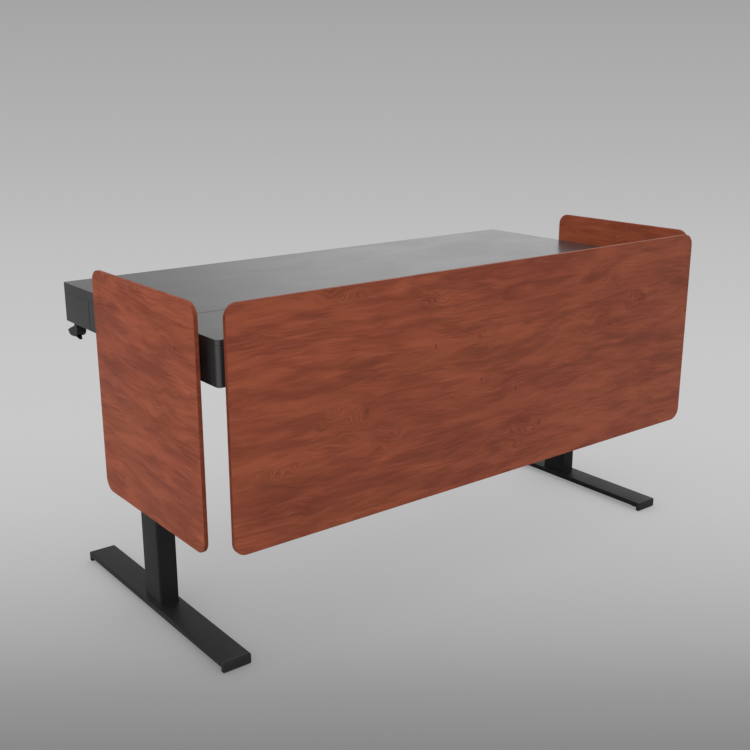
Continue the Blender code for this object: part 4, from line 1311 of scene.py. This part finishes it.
def strip_body():
    # half the section: inset from the side, z
    half = [(0.0020, strip.low.z), (0.0, strip.low.z + 0.0020), (0.0, strip.high.z - 0.0095),
            (0.0060, STRIP_TOP), (0.0090, STRIP_TOP)]
    front = [(strip.low.y + inset, z) for inset, z in half]
    rear = [(strip.high.y - inset, z) for inset, z in half]
    section = front[:1] + rear + front[:0:-1]
    shape = bmesh.new()
    prism(shape, section, strip.low.x + 0.003, strip.high.x - 0.003, "X")
    round_edges(finish("power_strip_body", shape, "plastic_smooth", replaces="power_strip"),
                0.0020, 4, 25)
    grown = [((y - STRIP_Y) * 1.012 + STRIP_Y, (z - strip.mid.z) * 1.012 + strip.mid.z)
             for y, z in section]
    shape = bmesh.new()
    for sign, x in ((-1, strip.low.x), (1, strip.high.x)):
        prism(shape, grown, x, x - sign * 0.012, "X")
    round_edges(finish("power_strip_ends", shape, "plastic"), 0.0016, 3, 25)


def strip_outlets():
    """Each outlet: a raised rim, a disc, two upright slots and a round hole."""
    shape = bmesh.new()
    for x in OUTLET_X:
        centre = (x, STRIP_Y, STRIP_TOP)
        lathe(shape, [(0.0196, -0.0004), (0.0206, 0.0010), (0.0206, 0.0014), (0.0198, 0.0016),
                      (0.0186, 0.0013), (0.0180, -0.0004), (0.0196, -0.0004)], centre, steps=40)
        lathe(shape, [(0.0, -0.0002), (0.0181, -0.0002), (0.0181, 0.0002), (0.0, 0.0002)],
              centre, steps=40, material=1)
        for slot in (x - 0.0064, x + 0.0064):
            block(shape, (slot - 0.0010, STRIP_Y - 0.0010, STRIP_TOP + 0.0001),
                  (slot + 0.0010, STRIP_Y + 0.0062, STRIP_TOP + 0.00030), material=2)
        lathe(shape, [(0.0, 0.0001), (0.0026, 0.0001), (0.0026, 0.0003), (0.0, 0.0003)],
              (x, STRIP_Y - 0.0078, STRIP_TOP), steps=20, material=2)
    bmesh.ops.remove_doubles(shape, verts=shape.verts, dist=1e-7)
    finish("power_strip_outlets", shape, "plastic_grey plastic_smooth rubber", sharp=40)


def strip_switch():
    centre = (SWITCH_X, STRIP_Y)
    shape = bmesh.new()
    tube(shape, rect(0.034, 0.024, 0.003, 5, centre), rect(0.030, 0.020, 0.0015, 5, centre),
         STRIP_TOP - 0.0002, STRIP_TOP + 0.0014)
    round_edges(finish("power_switch_bezel", shape, "plastic_grey"), 0.0004, angle=40)
    # rocker section: x from the switch's middle, z from the strip's top
    section = [(-0.0145, -0.0001), (0.0145, -0.0001), (0.0145, 0.0013), (0.0005, 0.0003),
               (-0.0010, 0.0003), (-0.0145, 0.0007)]
    shape = bmesh.new()
    prism(shape, [(SWITCH_X + x, STRIP_TOP + z) for x, z in section],
          STRIP_Y - 0.0097, STRIP_Y + 0.0097, "Y")
    round_edges(finish("power_switch_rocker", shape, "lamp"), 0.0003, angle=40)


strip_body()
strip_outlets()
strip_switch()

# ================================================================= control box
control = node_box("control_box")
EAR_Y = 0.030                                   # ears and screws each side of the middle
EAR_THICK = 0.0035
BOX_ENDS = ((-1, control.low.x), (1, control.high.x))


def control_box():
    low, high, mid = control.low, control.high, control.mid
    split_case("control_box_shell", "control_box", "plastic", low.z + 0.024, radius=0.007,
               core=(0.0020, 0.0062), rounding=0.0016)
    shape = bmesh.new()
    for k in range(16):                         # ribs on the underside
        x = low.x + 0.060 + k * 0.0100
        prism(shape, rect(0.0042, control.size.y - 0.030, 0.0020, 5, (x, mid.y)),
              low.z - 0.0007, low.z + 0.0003)
    for sign, y in ((-1, low.y), (1, high.y)):  # vents on both long sides
        for k in range(18):
            x = low.x + 0.070 + k * 0.0090
            if sign > 0 and 0.010 < x < 0.032:  # clear of the mains plug
                continue
            block(shape, (x - 0.0018, y - sign * 0.0003, low.z + 0.006),
                  (x + 0.0018, y + sign * 0.0006, low.z + 0.019))
    round_edges(finish("control_box_ribs", shape, "plastic"), 0.0003)
    shape = bmesh.new()
    for sign, x in BOX_ENDS:
        for side_y in (-EAR_Y, EAR_Y):
            prism(shape, rect(0.018, 0.016, 0.0060, 8, (x + sign * 0.006, mid.y + side_y)),
                  high.z - EAR_THICK, high.z)
    round_edges(finish("control_box_ears", shape, "plastic"), 0.0006)
    spots = [((x + sign * 0.0085, mid.y + side_y, high.z - EAR_THICK), (0, 0, -1))
             for sign, x in BOX_ENDS for side_y in (-EAR_Y, EAR_Y)]
    screws("control_box_screws", spots, radius=0.0042, height=0.0022, key=0.0021, style="cross")


control_box()


# ============================================================= cables and plugs
MOTOR_LEAD, MAINS_LEAD, CONTROL_LEAD = 0.0030, 0.0035, 0.0022       # cable radii
MOTOR_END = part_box("motor_right")[0].x          # inboard end of the right motor
GAP = 0.0006
hand = node_box("hand_control_housing")


def plug(name, place, axis, width=0.012, depth=0.009, length=0.014, cable_radius=MOTOR_LEAD):
    """A moulded plug with a ribbed strain relief, pointing along axis."""
    shape = bmesh.new()
    prism(shape, rect(width, depth, 0.0015, 4), 0.0, length * 0.62)
    profile = [(0.0, length * 0.60), (cable_radius * 1.75, length * 0.60)]
    z = length * 0.62
    for k in range(4):
        crest, groove = 1.75 - k * 0.1, 1.38 - k * 0.05
        profile += [(cable_radius * crest, z),
                    (cable_radius * (1.70 - k * 0.1), z + 0.0011),
                    (cable_radius * groove, z + 0.0013), (cable_radius * groove, z + 0.0021)]
        z += 0.0023
    profile += [(cable_radius * 1.02, z + 0.002), (0.0, z + 0.002)]
    lathe(shape, profile, (0, 0, 0), steps=24)
    shape.transform(Matrix.Translation(place) @ turn_to(axis).to_4x4())
    round_edges(finish(name, shape, "plastic_smooth"), 0.0004)


def motor_lead(side, sign):
    end_x = sign * (MOTOR_END - GAP)
    exit_x = control.high.x + GAP if sign > 0 else control.low.x - GAP
    motor_z, box_y, box_z = 0.7480, -0.2000, 0.7640
    cable("motor_lead_" + side,
          [(end_x, LEG_Y, motor_z), (end_x - sign * 0.045, LEG_Y, motor_z),
           (end_x - sign * 0.075, -0.1300, 0.7520), (sign * 0.260, box_y, box_z),
           (exit_x, box_y, box_z)], MOTOR_LEAD, "motor_cable_" + side)
    plug("motor_plug_" + side, (exit_x - sign * GAP, box_y, box_z), (sign, 0, 0))
    plug("motor_gland_" + side, (end_x + sign * GAP, LEG_Y, motor_z), (-sign, 0, 0),
         width=0.013, depth=0.013, length=0.010)


for side, sign in SIDES:
    motor_lead(side, sign)
cable("mains_lead",
      [(0.0200, -0.1644, 0.7640), (0.0200, -0.1400, 0.7640), (0.0600, -0.0500, 0.7440),
       (0.0600, 0.1200, 0.7440), (0.0600, 0.1460, 0.7700), (0.0600, 0.2000, 0.7700),
       (0.1000, 0.2700, 0.7700), (0.1000, 0.2700, 0.7506)], MAINS_LEAD, "power_cable")
plug("mains_plug_box", (0.0200, control.high.y, 0.7640), (0, 1, 0),
     width=0.020, depth=0.014, length=0.018, cable_radius=MAINS_LEAD)
plug("mains_gland_strip", (0.1000, 0.2700, STRIP_TOP - 0.0004), (0, 0, 1),
     width=0.016, depth=0.016, length=0.008, cable_radius=MAINS_LEAD)
cable("control_lead",
      [(hand.low.x - GAP, -0.3667, 0.6940), (0.7300, -0.3667, 0.6940),
       (0.7100, -0.3600, 0.7400), (0.5600, -0.3000, 0.7500), (0.2600, -0.2250, 0.7540),
       (control.high.x + GAP, -0.2250, 0.7540)], CONTROL_LEAD, "control_cable")
plug("control_plug", (control.high.x, -0.2250, 0.7540), (1, 0, 0),
     width=0.010, depth=0.008, length=0.012, cable_radius=CONTROL_LEAD)


# ======================================================================= hinge
HINGE_Y, HINGE_Z = REAR_Y + 0.0050, TOP_Z - 0.012 - 0.0002      # the pin's axis
HINGE_HALF = 0.740
KNUCKLES = 9
LEAF_Y = REAR_Y + 0.0015                        # outer face of the leaves


def hinge_leaf(name, node, plate, edge, first, body):
    """A leaf with every second knuckle from first; plate and edge are z ranges."""
    pitch = 2 * HINGE_HALF / KNUCKLES
    centre = (HINGE_Y, HINGE_Z)
    shape = bmesh.new()
    block(shape, (-HINGE_HALF, REAR_Y + 0.0003, plate[0]), (HINGE_HALF, LEAF_Y, plate[1]))
    for k in range(first, KNUCKLES, 2):
        start = -HINGE_HALF + k * pitch + 0.0010
        end = -HINGE_HALF + (k + 1) * pitch - 0.0010
        block(shape, (start, REAR_Y + 0.0006, edge[0]), (end, HINGE_Y - 0.0018, edge[1]))
        tube(shape, circle(0.0032, 28, centre), circle(0.0015, 28, centre), start, end, "X")
    round_edges(finish(name, shape, "zinc_x", body, node, sharp=40), 0.00025, angle=60)


def hinge_pin():
    box = node_box("hinge_pin")
    half = box.high.x
    tip = [(0.0, half), (0.0017, half), (0.0019, half - 0.0003), (0.0019, half - 0.0007),
           (0.0012, half - 0.0009)]
    shape = bmesh.new()
    lathe(shape, [(radius, -x) for radius, x in tip] + tip[::-1],
          (0.0, box.mid.y, box.mid.z), (1, 0, 0), 20)
    finish("hinge_pin_rod", shape, "steel_bright", replaces="hinge_pin", sharp=40)


hinge_leaf("hinge_leaf_lower", "hinge_leaf_fixed", (0.7700, HINGE_Z - 0.0009),
           (HINGE_Z - 0.0026, HINGE_Z - 0.0009), 0, "desk_top")
hinge_leaf("hinge_leaf_upper", "hinge_leaf_moving", (HINGE_Z + 0.0009, TOP_Z - 0.0012),
           (HINGE_Z + 0.0009, HINGE_Z + 0.0026), 1, "lid")
hinge_pin()
screws("hinge_screws_lower",
       [((-0.70 + k * 0.1, LEAF_Y, 0.7830), (0, 1, 0)) for k in range(15)],
       radius=0.0030, height=0.0007, key=0.0015, style="cross")
screws("hinge_screws_upper",
       [((-0.65 + k * 0.1, LEAF_Y, TOP_Z - 0.0056), (0, 1, 0)) for k in range(14)],
       radius=0.0026, height=0.0007, key=0.0013, style="cross", body="lid")


# ============================================================== panel brackets
BRACKET_SHEET = 0.0025
BRACKET_SCREW = dict(radius=0.0046, height=0.0024, key=0.0022, material="screw_black")


def back_bracket(name, x):
    node = "back_bracket_" + name
    keep(node, "powder", 0.0005)
    box = node_box(node)
    heights = (box.mid.z - 0.014, box.mid.z + 0.014)
    spots = [((x - 0.016, box.low.y + BRACKET_SHEET, z), (0, 1, 0)) for z in heights]
    spots += [((x + 0.016, box.high.y - BRACKET_SHEET, z), (0, -1, 0)) for z in heights]
    screws("back_bracket_screws_" + name, spots, **BRACKET_SCREW)


def side_bracket(side, sign, end, y):
    node = "side_bracket_%s_%s" % (end, side)
    keep(node, "powder", 0.0005)
    box = node_box(node)
    box_x, panel_x = box.low.x + BRACKET_SHEET, box.high.x - BRACKET_SHEET
    if sign < 0:
        box_x, panel_x = panel_x, box_x
    heights = (box.mid.z - 0.018, box.mid.z + 0.018)
    # the flange on the box lies on one side of the web, the other on the panel
    spots = [((box_x, y + sign * 0.015, z), (sign, 0, 0)) for z in heights]
    spots += [((panel_x, y - sign * 0.015, z), (-sign, 0, 0)) for z in heights]
    screws("side_bracket_screws_%s_%s" % (end, side), spots, **BRACKET_SCREW)


for name, x in (("left", -0.55), ("centre", 0.0), ("right", 0.55)):
    back_bracket(name, x)
for side, sign in SIDES:
    for end, y in (("front", -0.030), ("rear", 0.250)):
        side_bracket(side, sign, end, y)


def skirt_angles():
    """Steel angles that join the skirt to the board, inside the box."""
    sheet, leg, half = 0.0018, 0.022, 0.014
    top = BOARD_Z - 0.0003
    section = [(0, 0), (leg, 0), (leg, -sheet), (sheet, -sheet), (sheet, -leg), (0, -leg)]
    # x, y on the skirt's inner face, then the direction into the box
    places = [(x, FRONT_Y + SKIRT, 0, 1) for x in (-0.60, -0.20, 0.20, 0.60)]
    places += [(sign * INSIDE, y, -sign, 0) for sign in (-1, 1) for y in (-0.330, 0.080)]
    shape = bmesh.new()
    spots = []
    for x, y, in_x, in_y in places:
        loft(shape, [[shape.verts.new((x + in_x * a - in_y * reach, y + in_y * a + in_x * reach,
                                       top + b)) for a, b in section]
                     for reach in (-half, half)])
        spots.append(((x + in_x * 0.013, y + in_y * 0.013, top - sheet), (0, 0, -1)))
        spots.append(((x + in_x * sheet, y + in_y * sheet, top - 0.013), (in_x, in_y, 0)))
    round_edges(finish("skirt_angle_brackets", shape, "zinc"), 0.0004)
    screws("skirt_angle_screws", spots, radius=0.0036, height=0.0016, key=0.0018, style="cross")


skirt_angles()

# ================================================================ hand control
PIVOT = Vector((hand.mid.x, -0.3930, 0.6690))

# the paddle, a rocker that narrows to a finger tip: y, low z and high z from the
# pivot, half width
PADDLE = [
    (-0.0108, -0.0008, 0.0014, 0.0060), (-0.0096, -0.0014, 0.0020, 0.0080),
    (-0.0060, -0.0019, 0.0023, 0.0086), (0.0000, -0.0022, 0.0023, 0.0086),
    (0.0045, -0.0026, 0.0022, 0.0086), (0.0085, -0.0038, 0.0011, 0.0083),
    (0.0130, -0.0052, -0.0004, 0.0074), (0.0170, -0.0066, -0.0026, 0.0062),
    (0.0210, -0.0083, -0.0052, 0.0050), (0.0240, -0.0095, -0.0074, 0.0040),
    (0.0256, -0.0095, -0.0083, 0.0030)]


def paddle(steps=28):
    shape = bmesh.new()
    rows = []
    for y, low, high, half_width in PADDLE:
        middle, half_height = (low + high) / 2, (high - low) / 2
        row = []
        for k in range(steps):
            turn = 2 * math.pi * k / steps
            across, up = math.cos(turn), math.sin(turn)
            row.append(shape.verts.new(PIVOT + Vector((
                half_width * math.copysign(abs(across) ** 0.38, across), y,
                middle + half_height * math.copysign(abs(up) ** 0.50, up)))))
        rows.append(row)
    loft(shape, rows)
    weigh(finish("hand_control_rocker", shape, "plastic_smooth", "paddle",
                 "hand_control_paddle"), weight=50)


def paddle_arrows():
    """Two arrowheads moulded on the rocker's underside, pointing apart along Y."""
    size = 0.0030
    shape = bmesh.new()
    for sign, z in ((1, -0.00262), (-1, -0.00215)):
        y = PIVOT.y + sign * size
        prism(shape, [(PIVOT.x + size, y), (PIVOT.x, y + sign * size), (PIVOT.x - size, y)],
              PIVOT.z + z - 0.0004, PIVOT.z + z + 0.0006)
    round_edges(finish("hand_control_arrows", shape, "plastic_key", "paddle"), 0.00012)


keep("hand_control_housing", "plastic", 0.0012, 3, 20)
paddle()
paddle_arrows()


# ==================================================== stage, light and camera
# backdrop: height in the view from 0 to 1, sRGB grey level out of 255
BACKDROP = [(0.0, 136), (0.075, 151), (0.15, 170), (0.24, 185.5), (0.32, 195), (0.42, 200),
            (0.52, 200), (0.66, 193), (0.80, 180), (1.0, 165)]

# a soft studio dome: brighter overhead, and a wide glow beyond the front left
# corner that the desk's top mirrors
GLOW_TOWARD = (math.cos(math.radians(-148.0)), math.sin(math.radians(-148.0)))
GLOW_EDGE = (math.cos(math.radians(34.0)), math.cos(math.radians(18.0)))
RISE_BAND = (0.30, 0.80)                # direction z over which the overhead takes over
LOW_SKY, GLOW_SKY, HIGH_SKY = 0.50, 1.00, 1.00

FLOOR_SHADE = 0.17                      # share of the floor that takes shadows
FLOOR_FADE = (1.4, 5.0)                 # radii over which that share fades out
FLOOR_GAIN = 1.0
CONTACT_SHADE, CONTACT_REACH = 0.45, 0.22
FLOOR_BOUNCE = (0.52, 0.52, 0.52, 1.0)  # the floor's colour to all but the camera


def srgb_to_linear(level):
    level /= 255.0
    return level / 12.92 if level <= 0.04045 else ((level + 0.055) / 1.055) ** 2.4


def window_gradient(graph):
    """Backdrop greys from the bottom to the top of the view."""
    ramp = graph.node("ShaderNodeValToRGB", {0: graph.split(graph.coords("Window"))["Y"]})
    ramp.color_ramp.interpolation = "LINEAR"
    stops = ramp.color_ramp.elements
    while len(stops) > 1:
        stops.remove(stops[-1])
    for index, (position, level) in enumerate(BACKDROP):
        stop = stops.new(position) if index else stops[0]
        stop.position = position
        stop.color = (srgb_to_linear(level),) * 3 + (1.0,)
    return ramp.outputs[0]


def camera_ray(graph):
    return graph.node("ShaderNodeLightPath").outputs["Is Camera Ray"]


def build_world():
    world = bpy.data.worlds.new("studio")
    bpy.context.scene.world = world
    world.use_nodes = True
    graph = Graph(world.node_tree)
    seen = graph.node("ShaderNodeBackground", {"Color": window_gradient(graph)})
    east, north, rise = (graph.split(graph.coords("Generated"))[k] for k in "XYZ") \
        if False else split_direction(graph)
    flat_squared = graph.plus(graph.times(east, east), graph.times(north, north))
    flat = graph.math("SQRT", graph.math("MAXIMUM", flat_squared, 0.0001))
    along = graph.plus(graph.times(east, GLOW_TOWARD[0]), graph.times(north, GLOW_TOWARD[1]))
    toward = graph.math("DIVIDE", along, flat)
    lobe = graph.remap(toward, GLOW_EDGE, to=(LOW_SKY, GLOW_SKY), curve="SMOOTHSTEP")
    height = graph.remap(rise, RISE_BAND, curve="SMOOTHSTEP")
    near_horizon = graph.times(lobe, graph.minus(1.0, height))
    light = graph.node("ShaderNodeBackground", {
        "Color": (1.0, 1.0, 1.0, 1.0),
        "Strength": graph.plus(near_horizon, graph.times(height, HIGH_SKY))})
    graph.node("ShaderNodeOutputWorld", {"Surface": graph.mix_shaders(
        camera_ray(graph), light.outputs[0], seen.outputs[0])})


def split_direction(graph):
    """The x, y and z of the direction looked in."""
    parts = graph.split(graph.coords("Generated"))
    return parts["X"], parts["Y"], parts["Z"]


def floor_material():
    """Matches the backdrop to the camera, with soft contact shade and light shadows.

    It is clear from below.
    """
    material = bpy.data.materials.new("studio_floor_pale")
    material.use_nodes = True
    graph = Graph(material.node_tree)
    backdrop = window_gradient(graph)
    contact = graph.node("ShaderNodeAmbientOcclusion", {"Distance": CONTACT_REACH}, samples=8)
    soft = graph.remap(contact.outputs["AO"], between=(0.0, 1.0), to=(1.0 - CONTACT_SHADE, 1.0))
    flat = graph.node("ShaderNodeEmission", {"Color": graph.scaled_colour(backdrop, soft)})
    lit = graph.node("ShaderNodeBsdfDiffuse", {
        "Color": graph.scaled_colour(backdrop, FLOOR_GAIN)})
    reach = graph.node("ShaderNodeVectorMath", {0: graph.coords("Object")}, operation="LENGTH")
    fade = graph.remap(reach.outputs["Value"], FLOOR_FADE, to=(FLOOR_SHADE, 0.0),
                       curve="SMOOTHSTEP")
    seen = graph.mix_shaders(fade, flat.outputs[0], lit.outputs[0])
    plain = graph.node("ShaderNodeBsdfDiffuse", {"Color": FLOOR_BOUNCE})
    top = graph.mix_shaders(camera_ray(graph), plain.outputs[0], seen)
    below = graph.node("ShaderNodeNewGeometry").outputs["Backfacing"]
    clear = graph.node("ShaderNodeBsdfTransparent").outputs[0]
    graph.node("ShaderNodeOutputMaterial", {"Surface": graph.mix_shaders(below, top, clear)})
    return material


def build_floor():
    shape = bmesh.new()
    bmesh.ops.create_grid(shape, x_segments=24, y_segments=24, size=30.0)
    mesh = bpy.data.meshes.new("studio_floor")
    shape.to_mesh(mesh)
    shape.free()
    floor = bpy.data.objects.new("studio_floor", mesh)
    floor.location = (0.0, 0.0, -0.0002)
    bpy.context.scene.collection.objects.link(floor)
    mesh.materials.append(floor_material())


def softbox(name, place, target, size, power):
    data = bpy.data.lights.new(name, "AREA")
    data.shape = "RECTANGLE"
    data.size, data.size_y = size
    data.energy = power
    obj = bpy.data.objects.new(name, data)
    obj.location = place
    obj.rotation_euler = (Vector(target) - Vector(place)).to_track_quat("-Z", "Y").to_euler()
    obj.visible_camera = False
    bpy.context.scene.collection.objects.link(obj)


def build_camera():
    """Looks at the desk from behind its right side, tilted a little down."""
    tilt_down, heading = 16.10, -218.19         # degrees
    data = bpy.data.cameras.new("camera")
    data.lens = 50.0
    data.sensor_width = 36.0
    camera = bpy.data.objects.new("camera", data)
    camera.location = (1.8436, 2.2555, 1.3439)
    camera.rotation_euler = Euler((math.radians(90.0 - tilt_down), 0.0, math.radians(heading)))
    bpy.context.scene.collection.objects.link(camera)
    bpy.context.scene.camera = camera


build_world()
build_floor()
softbox("overhead_softbox", place=(0.3, 0.3, 3.4), target=(0.0, 0.0, 0.6), size=(3.6, 2.8),
        power=30.0)
softbox("key_softbox", place=(5.9, 3.2, 3.5), target=(0.0, 0.1, 0.6), size=(3.5, 3.5),
        power=96.0)
build_camera()

view = bpy.context.scene.view_settings
view.view_transform = "Standard"
view.look = "None"
view.exposure = 0.0
view.gamma = 1.0
